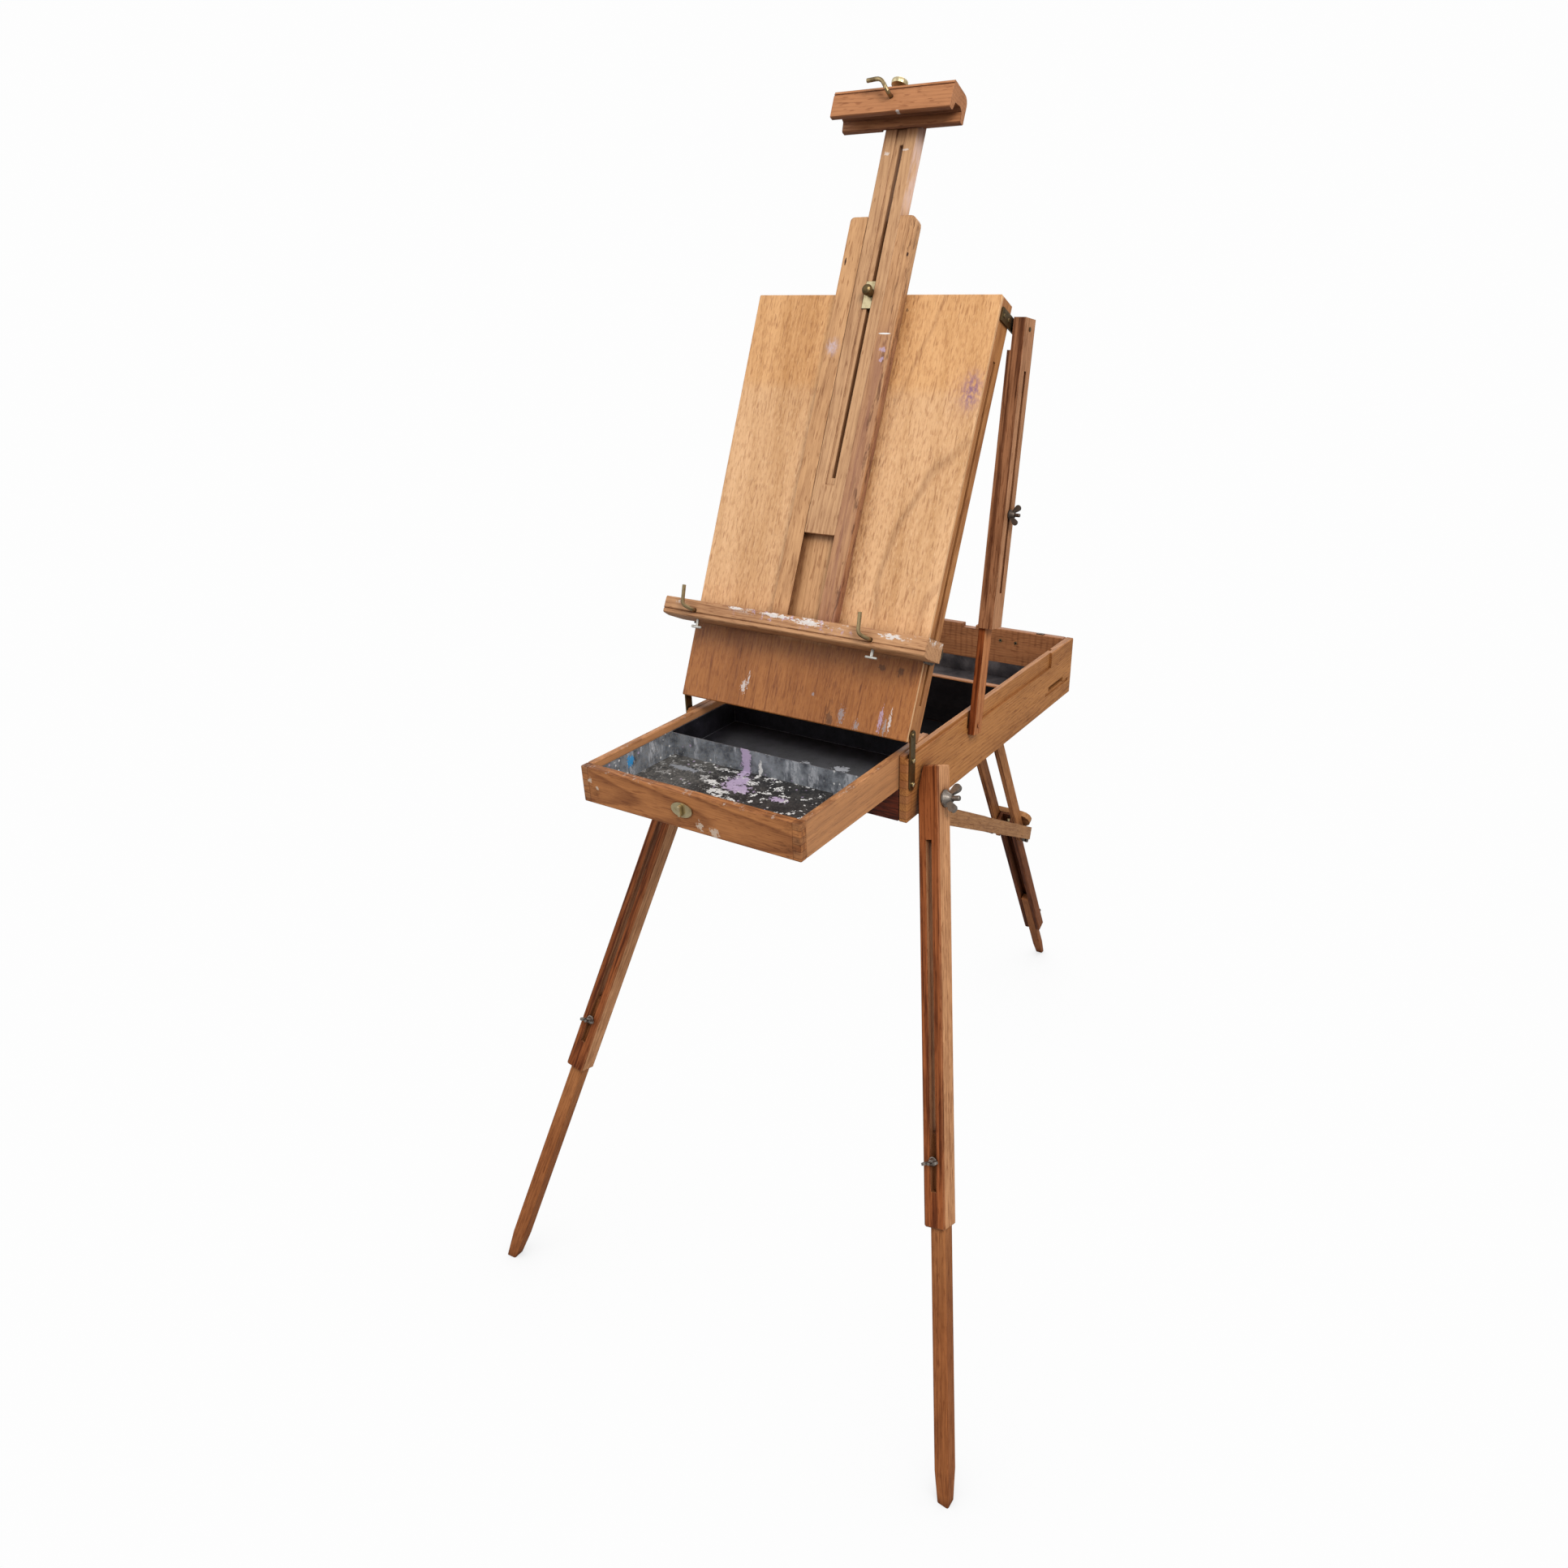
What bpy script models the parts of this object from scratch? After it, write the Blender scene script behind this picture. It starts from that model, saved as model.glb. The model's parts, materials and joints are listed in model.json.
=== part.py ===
"""French box easel: a sketch box on three folding legs, with a hinged panel,
a two-stage sliding mast, a canvas ledge and a pull-out drawer.

Metres, +Z up.  The origin is on the ground, in the middle of the footprint.
+X is the painter's right, +Y points away from the painter.
"""
import bpy
import bmesh
from math import cos, pi, radians, sin
from mathutils import Matrix, Vector

# ---------------------------------------------------------------- dimensions
GAP = 0.0003            # clearance between neighbouring pieces

BOX_BOTTOM = 0.800      # underside of the box above the ground
BOX_Y = -0.0741         # the middle of the box, from the middle of the footprint
BOX_WIDTH = 0.3414
BOX_DEPTH = 0.550
BOX_HEIGHT = 0.090
WALL = 0.012
FLOOR = 0.008
FRONT_RAIL_HEIGHT = 0.043
DIVIDER_Y = 0.035
DIVIDER_TOP = 0.079
LINER_SHEET = 0.0012
REAR_LINER_TOP = 0.034
RELIEF = 0.0035         # shallow outer relief in the walls behind the strips
RELIEF_FLOOR = 0.067
RELIEF_END_Y = 0.186
STRIP_TOP = 0.086
STRIP_END_Y = -0.110

DRAWER_OPEN = 0.217     # how far the drawer is pulled out at rest
DRAWER_WIDTH = 0.3166
DRAWER_LENGTH = 0.305
DRAWER_BOTTOM = 0.0436
DRAWER_TOP = 0.0905
DRAWER_FRONT = 0.012
DRAWER_SIDE = 0.009
TRAY_PARTITION = 0.159  # behind the drawer's front face

LEAN = radians(24.74)   # panel leans back from the vertical
PANEL_WIDTH = 0.342
PANEL_LENGTH = 0.526
PANEL_THICK = 0.0335
FACE_THICK = 0.006
STILE = 0.022
HINGE_Y = -0.2665       # panel hinge, world Y and height over the box bottom
HINGE_Z = 0.1161
HINGE_S = 0.010         # the hinge's place on the panel: up from its lower
HINGE_D = 0.011         # edge, and back from its front face
STRAP_THICK = 0.0022
STRAP_WIDTH = 0.012

STRUT_PIN_S = 0.5065    # strut pin on the panel
STRUT_PIN_D = 0.051
STRUT_FOOT_Y = -0.095   # strut pivot on the box wall
STRUT_FOOT_Z = 0.071
STRUT_INNER = 0.1712    # inner face of both strut pieces
STRUT_OUTER = 0.1910
STRUT_DEPTH = 0.030
STRUT_LENGTH = 0.366
LOWER_THICK = 0.009
LOWER_DEPTH = 0.022
LOWER_LENGTH = 0.302
STRUT_BOLT = 0.273      # clamp bolt, along the lower piece from its foot pivot

MAST_WIDTH = 0.093
MAST_PROUD = 0.013      # front of both mast pieces, ahead of the panel face
MAST_BACK = -0.0004     # the mast slides just in front of the panel face
MAST_BOTTOM = 0.118     # along the panel
MAST_TOP = 0.613
DOVETAIL_FRONT = 0.022  # half widths of the sliding piece, in front and behind
DOVETAIL_REAR = 0.0275
DOVETAIL_DEPTH = 0.0108
INNER_BOTTOM = 0.2295
INNER_TOP = 0.738
MAST_GROOVE = (-0.0062, 0.0066)     # shallow groove that takes the brass plate
MAST_GROOVE_DEPTH = 0.0022
MAST_SLOT = (0.0004, 0.0052)
KNOB_S = 0.522

CLAMP_WIDTH = 0.161
CLAMP_X = -0.002        # the clamp sits a little off the middle
CLAMP_FRONT = 0.047
CLAMP_BACK = 0.0085
CLAMP_TOP = 0.745
CLAMP_BOTTOM = 0.7145

LEDGE_WIDTH = 0.385
LEDGE_BOTTOM = 0.098
LEDGE_TOP = 0.122
LEDGE_FRONT = 0.045
GUIDE_S = 0.111
GUIDE_D = 0.017
HOOK_X = (-0.142, 0.1195)
HOOK_SCREW_D = -0.034
WIRE_RADIUS = 0.0024

LEG_PIVOT = Vector((0.1903, -0.2406, 0.8254))
FOOT = Vector((0.390, -0.557, 0.0))
LEG_WIDTH = 0.030
LEG_DEPTH = 0.030
LEG_ABOVE = 0.042       # leg above its pivot
LEG_BELOW = 0.543       # leg below its pivot
LEG_CLEAR = 0.0188      # the head is coned on its inner side, so that it swings
LEG_CLEAR_SLOPE = 0.29  # past the box wall and the strap as the leg folds
LEG_GROOVE = 0.0216     # width of the groove that holds the extension
LEG_WEB = 0.0080        # wood left in front of the groove
EXTENSION = 0.0208
EXTENSION_TOP = 0.425   # top end of the extension below the leg pivot
EXTENSION_BOLT = 0.456
TAPER_LENGTH = 0.055    # the feet of all three legs taper
TAPER_TIP = 0.72

REAR_PIVOT_Y = 0.2655
REAR_PIVOT_Z = -0.0125  # below the box bottom
REAR_LEAN = radians(29.3)
RAIL_GAP = 0.0356
RAIL_THICK = 0.009
RAIL_LENGTH = 0.440
RAIL_FRONT = 0.0105
RAIL_BACK = 0.0135
CROSS_T = 0.403         # crosspiece, along the leg from its pivot
CROSS_HALF = 0.0415
CROSS_ROUND = 0.017
CHANNEL_TOP = 0.385
CHANNEL_END = 0.790
REAR_EXT = 0.0178
REAR_EXT_DEPTH = 0.0142
REAR_EXT_TOP = 0.668
REAR_BOLT_T = 0.760

STRETCHER_PIVOT = Vector((0.164, -0.208, -0.0145))
STRETCHER_HEIGHT = 0.024
STRETCHER_THICK = 0.008
STRETCHER_T = 0.409     # rear end of a stretcher, along the rear leg
STRETCHER_AHEAD = 0.0066

TURNED = 20             # segments of small turned pieces

# ------------------------------------------------------------------ materials
WOODS_AND_METALS = {
    "panel_beech": ((0.56, 0.33, 0.14), 0.45, 0.0),
    "box_beech": ((0.42, 0.20, 0.08), 0.5, 0.0),
    "drawer_beech": ((0.46, 0.24, 0.09), 0.5, 0.0),
    "leg_beech": ((0.30, 0.13, 0.05), 0.45, 0.0),
    "mast_beech": ((0.45, 0.24, 0.11), 0.45, 0.0),
    "clamp_beech": ((0.52, 0.26, 0.11), 0.5, 0.0),
    "tray_metal": ((0.06, 0.06, 0.065), 0.45, 0.6),
    "zinc": ((0.22, 0.22, 0.23), 0.4, 0.8),
    "brass": ((0.70, 0.52, 0.25), 0.35, 1.0),
    "old_brass": ((0.22, 0.15, 0.07), 0.45, 1.0),
    "dark_steel": ((0.16, 0.15, 0.15), 0.4, 1.0),
}


def make_materials():
    made = {}
    for name, (colour, roughness, metallic) in WOODS_AND_METALS.items():
        material = bpy.data.materials.new(name)
        material.use_nodes = True
        shader = material.node_tree.nodes["Principled BSDF"]
        shader.inputs["Base Color"].default_value = (*colour, 1.0)
        shader.inputs["Roughness"].default_value = roughness
        shader.inputs["Metallic"].default_value = metallic
        made[name] = material
    return made


# ------------------------------------------------------------- scene and tools
for old in list(bpy.data.objects):
    bpy.data.objects.remove(old, do_unlink=True)

parts = bpy.data.collections.new("french_box_easel")
cutters = bpy.data.collections.new("cutters")
bpy.context.scene.collection.children.link(parts)
bpy.context.scene.collection.children.link(cutters)
MATERIALS = make_materials()


def frame(name, location, axes=None, parent=None):
    """An empty on a joint's axis; axes are its local X, Y and Z in the world."""
    empty = bpy.data.objects.new(name, None)
    empty.empty_display_size = 0.03
    empty.location = location
    empty.parent = parent
    if axes:
        empty.rotation_euler = Matrix(axes).transposed().to_euler()
    parts.objects.link(empty)
    return empty


def finish(mesh, name, material, parent=None, location=(0, 0, 0), cutter=False):
    """Make an object of a mesh, as a visible part or as a wire cutter."""
    obj = bpy.data.objects.new(name, mesh)
    obj.location = location
    obj.parent = parent
    if cutter:
        obj.display_type = "WIRE"
        obj.hide_render = True
        cutters.objects.link(obj)
    else:
        mesh.materials.append(MATERIALS[material])
        parts.objects.link(obj)
    return obj


def mesh_of(bm, name):
    mesh = bpy.data.meshes.new(name)
    bmesh.ops.recalc_face_normals(bm, faces=bm.faces)
    bm.to_mesh(mesh)
    bm.free()
    return mesh


def block(name, x, y, z, material=None, parent=None, cutter=False):
    """A rectangular piece between two values on each axis."""
    size = Vector((x[1] - x[0], y[1] - y[0], z[1] - z[0]))
    centre = Vector((x[0] + x[1], y[0] + y[1], z[0] + z[1])) / 2
    bm = bmesh.new()
    bmesh.ops.create_cube(bm, size=1.0, matrix=Matrix.Diagonal((*size, 1.0)))
    return finish(mesh_of(bm, name), name, material, parent, centre, cutter)


def box_cut(target, name, x, y, z, parent=None):
    """Cut a rectangular pocket out of a piece."""
    boolean(target, block(name, x, y, z, parent=parent, cutter=True))


def boolean(target, tool, operation="DIFFERENCE"):
    modifier = target.modifiers.new(tool.name, "BOOLEAN")
    modifier.operation = operation
    modifier.solver = "EXACT"
    modifier.object = tool


def bevel(obj, width, segments=1):
    modifier = obj.modifiers.new("edges", "BEVEL")
    modifier.width = width
    modifier.segments = segments
    modifier.limit_method = "ANGLE"
    modifier.angle_limit = radians(40)
    modifier.use_clamp_overlap = True


def direction_matrix(axis):
    """Rotation that takes +Z onto a direction."""
    return Vector((0, 0, 1)).rotation_difference(Vector(axis)).to_matrix().to_4x4()


def rod(name, radius, start, end, material=None, parent=None, cutter=False,
        segments=TURNED, end_radius=None):
    """A round bar from one point to another."""
    start = Vector(start)
    end = Vector(end)
    length = (end - start).length
    bm = bmesh.new()
    bmesh.ops.create_cone(bm, cap_ends=True, segments=segments, radius1=radius,
                          radius2=radius if end_radius is None else end_radius,
                          depth=length, matrix=direction_matrix(end - start))
    obj = finish(mesh_of(bm, name), name, material, parent, (start + end) / 2, cutter)
    smooth(obj)
    return obj


def smooth(obj):
    obj.data.shade_smooth()
    obj.data.set_sharp_from_angle(angle=radians(35))


def extrude(name, outline, thickness, plane, material=None, parent=None,
            location=(0, 0, 0), cutter=False):
    """A flat outline given thickness both ways.

    plane "x": outline in (y, z), thick along x.  plane "z": outline in (x, y),
    thick along z.  plane "y": outline in (x, z), thick along y.
    """
    curve = bpy.data.curves.new(name + "_outline", "CURVE")
    curve.dimensions = "2D"
    curve.fill_mode = "BOTH"
    curve.extrude = thickness / 2
    spline = curve.splines.new("POLY")
    spline.points.add(len(outline) - 1)
    for point, (u, v) in zip(spline.points, outline):
        point.co = (u, v, 0, 1)
    spline.use_cyclic_u = True
    mesh = curve_mesh(curve, name)
    turn = {"x": Matrix(((0, 0, 1), (1, 0, 0), (0, 1, 0))),
            "y": Matrix(((1, 0, 0), (0, 0, -1), (0, 1, 0))),
            "z": Matrix.Identity(3)}[plane]
    mesh.transform(turn.to_4x4())
    return finish(mesh, name, material, parent, location, cutter)


def curve_mesh(curve, name):
    """A closed mesh of a curve, with its caps welded on."""
    guide = bpy.data.objects.new(name + "_curve", curve)
    cutters.objects.link(guide)
    bpy.context.view_layer.update()
    evaluated = guide.evaluated_get(bpy.context.evaluated_depsgraph_get())
    mesh = bpy.data.meshes.new_from_object(evaluated)
    bpy.data.objects.remove(guide, do_unlink=True)
    bm = bmesh.new()
    bm.from_mesh(mesh)
    bmesh.ops.remove_doubles(bm, verts=bm.verts, dist=1e-6)
    bmesh.ops.recalc_face_normals(bm, faces=bm.faces)
    bm.to_mesh(mesh)
    bm.free()
    return mesh


def wire(name, points, radius, material, parent, reach=0.006):
    """A bent wire through a few points; reach is how far a bend runs each way."""
    curve = bpy.data.curves.new(name + "_path", "CURVE")
    curve.dimensions = "3D"
    curve.bevel_depth = radius
    curve.bevel_resolution = 2
    curve.use_fill_caps = True
    path = rounded_path([Vector(p) for p in points], reach)
    spline = curve.splines.new("POLY")
    spline.points.add(len(path) - 1)
    for point, place in zip(spline.points, path):
        point.co = (*place, 1)
    obj = finish(curve_mesh(curve, name), name, material, parent)
    smooth(obj)
    return obj


def rounded_path(points, reach, steps=4):
    """Swap each inner corner of a path for a short curve."""
    path = [points[0]]
    for before, corner, after in zip(points, points[1:], points[2:]):
        start = corner + (before - corner).normalized() * reach
        end = corner + (after - corner).normalized() * reach
        for step in range(steps + 1):
            t = step / steps
            path.append(start * (1 - t) ** 2 + corner * 2 * t * (1 - t) + end * t ** 2)
    path.append(points[-1])
    return path


def arc(centre, radius, start, end, steps):
    """Points on an arc, with the angles in degrees."""
    angles = [radians(start + (end - start) * i / steps) for i in range(steps + 1)]
    return [(centre[0] + radius * cos(a), centre[1] + radius * sin(a)) for a in angles]


def turned(name, profile, place, axis, material, parent, cutter=False):
    """A turned piece: (radius, height) from top to bottom, spun about an axis."""
    bm = bmesh.new()
    points = [bm.verts.new((radius, 0, height)) for radius, height in profile]
    for a, b in zip(points, points[1:]):
        bm.edges.new((a, b))
    mesh = bpy.data.meshes.new(name)
    bm.to_mesh(mesh)
    bm.free()
    obj = finish(mesh, name, material, parent, place, cutter)
    obj.rotation_euler = direction_matrix(axis).to_euler()
    screw = obj.modifiers.new("turn", "SCREW")
    screw.steps = TURNED
    screw.render_steps = TURNED
    screw.use_merge_vertices = True
    screw.merge_threshold = 0.00005
    screw.use_smooth_shade = True
    weld = obj.modifiers.new("centre", "WELD")
    weld.merge_threshold = 0.00005
    return obj


def wing_nut(name, place, axis, wings, material, parent, size=1.0, hub=0.0065):
    """A flanged hub with two wings and the end of its bolt; wings is their direction."""
    axis = Vector(axis).normalized()
    spread = Vector(wings).normalized()
    side = axis.cross(spread)
    profile = [(0, 0.0175), (0.0024, 0.0175), (0.0028, 0.0168), (0.0028, 0.0095),
               (0.0044, 0.0090), (0.0050, 0.0075), (hub, 0.0022), (hub + 0.0012, 0.0016),
               (hub + 0.0012, 0), (0, 0)]
    nut = turned(name, [(r * size, h * size) for r, h in profile], place, axis, material,
                 parent)
    turn = Matrix((spread, side, axis)).transposed()
    nut.rotation_euler = turn.to_euler()
    outline = ([(-0.002, 0.0020), (0.002, 0.0020), (0.0072, 0.0046)]
               + arc((0.0112, 0.0118), 0.0046, -50, 160, 7)
               + [(0.0040, 0.0084), (-0.0040, 0.0084)]
               + arc((-0.0112, 0.0118), 0.0046, 20, 230, 7)
               + [(-0.0072, 0.0046)])
    outline = [(u * size, v * size) for u, v in outline]
    ears = extrude(name + "_wings", outline, 0.0040 * size, "y", parent=parent,
                   location=place, cutter=True)
    ears.rotation_euler = nut.rotation_euler
    boolean(nut, ears, "UNION")
    smooth(nut)
    return nut


# ------------------------------------------------------------------------ box
def make_box():
    base = frame("box_frame", (0, 0, BOX_BOTTOM), parent=easel_frame)
    half = BOX_WIDTH / 2
    inner = half - WALL
    front = -BOX_DEPTH / 2
    back = BOX_DEPTH / 2
    for side, sign in (("left", -1), ("right", 1)):
        x = sorted((sign * inner, sign * half))
        wall = block("box_side_" + side, x, (front, back), (0, BOX_HEIGHT),
                     "box_beech", base)
        bevel(wall, 0.0012)
        outer = sorted((sign * (half - RELIEF), sign * (half + 0.01)))
        box_cut(wall, side + "_relief", outer, (STRIP_END_Y, RELIEF_END_Y),
                (RELIEF_FLOOR, BOX_HEIGHT + 0.01), base)
        box_cut(wall, side + "_step", outer, (front - 0.01, STRIP_END_Y + 0.001),
                (STRIP_TOP, BOX_HEIGHT + 0.01), base)
        runner = block("runner_" + side, sorted((sign * (inner - 0.008), sign * (inner + 0.002))),
                       (front + WALL + 0.004, DIVIDER_Y - 0.002),
                       (DRAWER_BOTTOM - 0.0086, DRAWER_BOTTOM - 2 * GAP), parent=base,
                       cutter=True)
        boolean(wall, runner, "UNION")
        if sign > 0:
            box_cut(wall, "mortise_slot", (inner - 0.01, half + 0.01), (0.180, 0.240),
                    (0.0285, 0.0365), base)
            box_cut(wall, "mortise_sill", (half - 0.002, half + 0.01), (0.169, 0.261),
                    (0.0240, 0.0290), base)
    rear = block("box_back", (-inner + GAP, inner - GAP), (back - WALL, back),
                 (0, BOX_HEIGHT), "box_beech", base)
    bevel(rear, 0.0012)
    box_cut(rear, "finger_notch", (-0.018, 0.006), (back - WALL - 0.01, back + 0.01),
            (BOX_HEIGHT - 0.006, BOX_HEIGHT + 0.01), base)
    for side, sign in (("left", -1), ("right", 1)):
        stop = sorted((sign * (inner - 0.01), sign * (inner + 0.005)))
        box_cut(bpy.data.objects["box_side_" + side], side + "_lid_stop", stop,
                (0.195, 0.203), (BOX_HEIGHT - 0.003, BOX_HEIGHT + 0.01), base)
    floor = block("box_floor", (-inner + GAP, inner - GAP),
                  (front + WALL + GAP, back - WALL - GAP), (0, FLOOR), "box_beech", base)
    lug_x = (-RAIL_GAP / 2 + GAP, RAIL_GAP / 2 - GAP)
    lug = block("rear_hinge_lug", lug_x, (REAR_PIVOT_Y - 0.028, REAR_PIVOT_Y + 0.008),
                (REAR_PIVOT_Z - 0.0095, -2 * GAP), parent=base, cutter=True)
    neck = block("rear_hinge_neck", lug_x, (REAR_PIVOT_Y - 0.026, back - WALL - 3 * GAP),
                 (-0.002, FLOOR / 2), parent=base, cutter=True)
    boolean(floor, neck, "UNION")
    boolean(floor, lug, "UNION")
    rail = block("box_front_rail", (-inner + GAP, inner - GAP), (front, front + WALL),
                 (0, FRONT_RAIL_HEIGHT), "box_beech", base)
    bevel(rail, 0.0012)
    divider = block("box_divider", (-inner + GAP, inner - GAP),
                    (DIVIDER_Y, DIVIDER_Y + 0.010), (FLOOR + GAP, DIVIDER_TOP),
                    "box_beech", base)
    bevel(divider, 0.001)
    tray("rear_liner", (-inner + GAP, inner - GAP),
         (DIVIDER_Y + 0.010 + GAP, back - WALL - GAP), (FLOOR + GAP, REAR_LINER_TOP),
         "zinc", base)
    for side, sign in (("left", -1), ("right", 1)):
        make_strap(side, sign, base)


def tray(name, x, y, z, material, parent):
    """An open tray of thin sheet."""
    liner = block(name, x, y, z, material, parent)
    sheet = LINER_SHEET
    box_cut(liner, name + "_hollow", (x[0] + sheet, x[1] - sheet),
            (y[0] + sheet, y[1] - sheet), (z[0] + sheet, z[1] + 0.01), parent)
    return liner


def make_strap(side, sign, base):
    """Upright brass plate on the box wall; the panel hinges on its top end."""
    inner = PANEL_WIDTH / 2 + GAP
    top = HINGE_Z
    bottom = 0.0487
    end = STRAP_WIDTH / 2
    outline = arc((HINGE_Y, top), end, 0, 180, 6) + arc((HINGE_Y, bottom), end, 180, 360, 6)
    x = sign * (inner + STRAP_THICK / 2)
    strap = extrude("strap_" + side, outline, STRAP_THICK, "x", "old_brass", base, (x, 0, 0))
    for index, height in enumerate((top, 0.0823, 0.0516)):
        head = rod(f"strap_{side}_screw_{index}", 0.0036,
                   (sign * (inner + STRAP_THICK - 0.001), HINGE_Y, height),
                   (sign * (inner + STRAP_THICK + 0.0014), HINGE_Y, height),
                   parent=base, cutter=True, segments=12, end_radius=0.0024)
        boolean(strap, head, "UNION")


# --------------------------------------------------------------------- drawer
def make_drawer():
    """A finger-jointed drawer with a partitioned metal tray."""
    front = -BOX_DEPTH / 2 - DRAWER_OPEN
    back = front + DRAWER_LENGTH
    half = DRAWER_WIDTH / 2
    slide = frame("drawer_frame", (0, front, BOX_BOTTOM), parent=easel_frame)
    length = (DRAWER_FRONT + GAP, DRAWER_LENGTH - DRAWER_SIDE - GAP)
    face = block("drawer_front", (-half, half), (0, DRAWER_FRONT),
                 (DRAWER_BOTTOM, DRAWER_TOP), "drawer_beech", slide)
    bevel(face, 0.0015, 2)
    for side, sign in (("left", -1), ("right", 1)):
        x = sorted((sign * (half - DRAWER_SIDE), sign * half))
        wall = block("drawer_side_" + side, x, length, (DRAWER_BOTTOM, DRAWER_TOP),
                     "drawer_beech", slide)
        bevel(wall, 0.001)
    rear = block("drawer_back", (-half, half), (back - front - DRAWER_SIDE, back - front),
                 (DRAWER_BOTTOM, DRAWER_TOP - 0.006), "drawer_beech", slide)
    bevel(rear, 0.001)
    inside = (-half + DRAWER_SIDE + GAP, half - DRAWER_SIDE - GAP)
    block("drawer_bottom", inside, (length[0] + GAP, length[1] - GAP),
          (DRAWER_BOTTOM, DRAWER_BOTTOM + 0.004), "drawer_beech", slide)
    low = DRAWER_BOTTOM + 0.004 + GAP
    high = DRAWER_TOP - 0.009
    liner = tray("drawer_liner", inside, (length[0] + GAP, length[1] - GAP),
                 (low, high), "tray_metal", slide)
    wall = block("liner_partition", inside, (TRAY_PARTITION, TRAY_PARTITION + LINER_SHEET),
                 (low + 0.0002, high - 0.002), parent=slide, cutter=True)
    boolean(liner, wall, "UNION")
    make_latch(slide)


def make_latch(slide):
    """Oval turn button on the drawer's front."""
    place = Vector((-0.004, -GAP, 0.069))
    width = 0.0152
    height = 0.0092
    steps = 20
    oval = [(width * cos(2 * pi * i / steps), height * sin(2 * pi * i / steps))
            for i in range(steps)]
    button = extrude("drawer_latch", oval, 0.0018, "y", "brass", slide,
                     place - Vector((0, 0.0009, 0)))
    grip = block("latch_grip", (place.x - 0.0019, place.x + 0.0019),
                 (place.y - 0.0075, place.y - 0.001), (place.z - 0.0068, place.z + 0.0068),
                 parent=slide, cutter=True)
    bevel(grip, 0.0012, 2)
    boolean(button, grip, "UNION")


# ---------------------------------------------------------------------- panel
def panel_axes():
    """Local X, Y (rearwards through the panel) and Z (up the panel)."""
    return ((1, 0, 0), (0, cos(LEAN), -sin(LEAN)), (0, sin(LEAN), cos(LEAN)))


def panel_point(x, d, s):
    """World place of a point given on the panel: right, depth, up."""
    _, rear, up = (Vector(axis) for axis in panel_axes())
    hinge = Vector((0, HINGE_Y, BOX_BOTTOM + HINGE_Z))
    return hinge + Vector((x, 0, 0)) + rear * (d - HINGE_D) + up * (s - HINGE_S)


def on_panel(name, x, d, s, material=None, cutter=False, parent=None):
    """A block given by its spans on the panel: right, depth, up."""
    y = (d[0] - HINGE_D, d[1] - HINGE_D)
    z = (s[0] - HINGE_S, s[1] - HINGE_S)
    return block(name, x, y, z, material, parent or panel_frame, cutter)


def make_panel():
    half = PANEL_WIDTH / 2
    face = on_panel("panel_face", (-half, half), (0, FACE_THICK), (0, PANEL_LENGTH),
                    "panel_beech")
    bevel(face, 0.0012)
    depth = (FACE_THICK + GAP, PANEL_THICK)
    for side, sign in (("left", -1), ("right", 1)):
        x = sorted((sign * (half - STILE), sign * half))
        stile = on_panel("panel_stile_" + side, x, depth, (0, PANEL_LENGTH), "panel_beech")
        bevel(stile, 0.0012)
        groove = sorted((sign * (half - 0.006), sign * (half + 0.01)))
        boolean(stile, on_panel("side_groove_" + side, groove,
                                (GUIDE_D - 0.0027, GUIDE_D + 0.0027), (0.046, 0.455),
                                cutter=True))
    rail_x = (-half + STILE + GAP, half - STILE - GAP)
    on_panel("panel_rail_top", rail_x, depth, (PANEL_LENGTH - STILE, PANEL_LENGTH),
             "panel_beech")
    on_panel("panel_rail_bottom", rail_x, depth, (0, STILE), "panel_beech")
    for side, sign in (("left", -1), ("right", 1)):
        make_strut_bracket(side, sign)


def make_strut_bracket(side, sign):
    """Brass plate on the panel's side that carries the strut's pin."""
    inner = PANEL_WIDTH / 2 + GAP
    s = STRUT_PIN_S - HINGE_S
    end_d = STRUT_PIN_D - HINGE_D
    radius = 0.0075
    outline = ([(0.006 - HINGE_D, s - radius), (end_d, s - radius)]
               + arc((end_d, s), radius, -60, 60, 4)
               + [(end_d, s + radius), (0.006 - HINGE_D, s + radius)])
    x = sign * (inner + STRAP_THICK / 2)
    plate = extrude("strut_bracket_" + side, outline, STRAP_THICK, "x", "old_brass",
                    panel_frame, (x, 0, 0))
    out = inner + STRAP_THICK
    for index, d in enumerate((0.012, 0.026)):
        head = rod(f"bracket_{side}_screw_{index}", 0.0034,
                   (sign * (out - 0.001), d - HINGE_D, s), (sign * (out + 0.0012), d - HINGE_D, s),
                   parent=panel_frame, cutter=True, segments=12, end_radius=0.0024)
        boolean(plate, head, "UNION")
    pin = rod(f"bracket_{side}_pin", 0.0024, (sign * (out - 0.001), end_d, s),
              (sign * (STRUT_OUTER + 0.0008), end_d, s), parent=panel_frame, cutter=True,
              segments=14)
    boolean(plate, pin, "UNION")


# ----------------------------------------------------------------------- mast
def dovetail(name, gap, span, cutter=False):
    """A bar that widens to the rear; gap is added all round, span is along the panel."""
    front = -MAST_PROUD - HINGE_D
    slope = (DOVETAIL_REAR - DOVETAIL_FRONT) / DOVETAIL_DEPTH
    ahead = 0.002 if cutter else 0
    near = DOVETAIL_FRONT + gap - slope * ahead
    far = DOVETAIL_REAR + gap + slope * gap
    outline = [(-near, front - ahead), (near, front - ahead),
               (far, front + DOVETAIL_DEPTH + gap), (-far, front + DOVETAIL_DEPTH + gap)]
    middle = (span[0] + span[1]) / 2 - HINGE_S
    return extrude(name, outline, span[1] - span[0], "z", "mast_beech", panel_frame,
                   (0, 0, middle), cutter)


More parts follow.
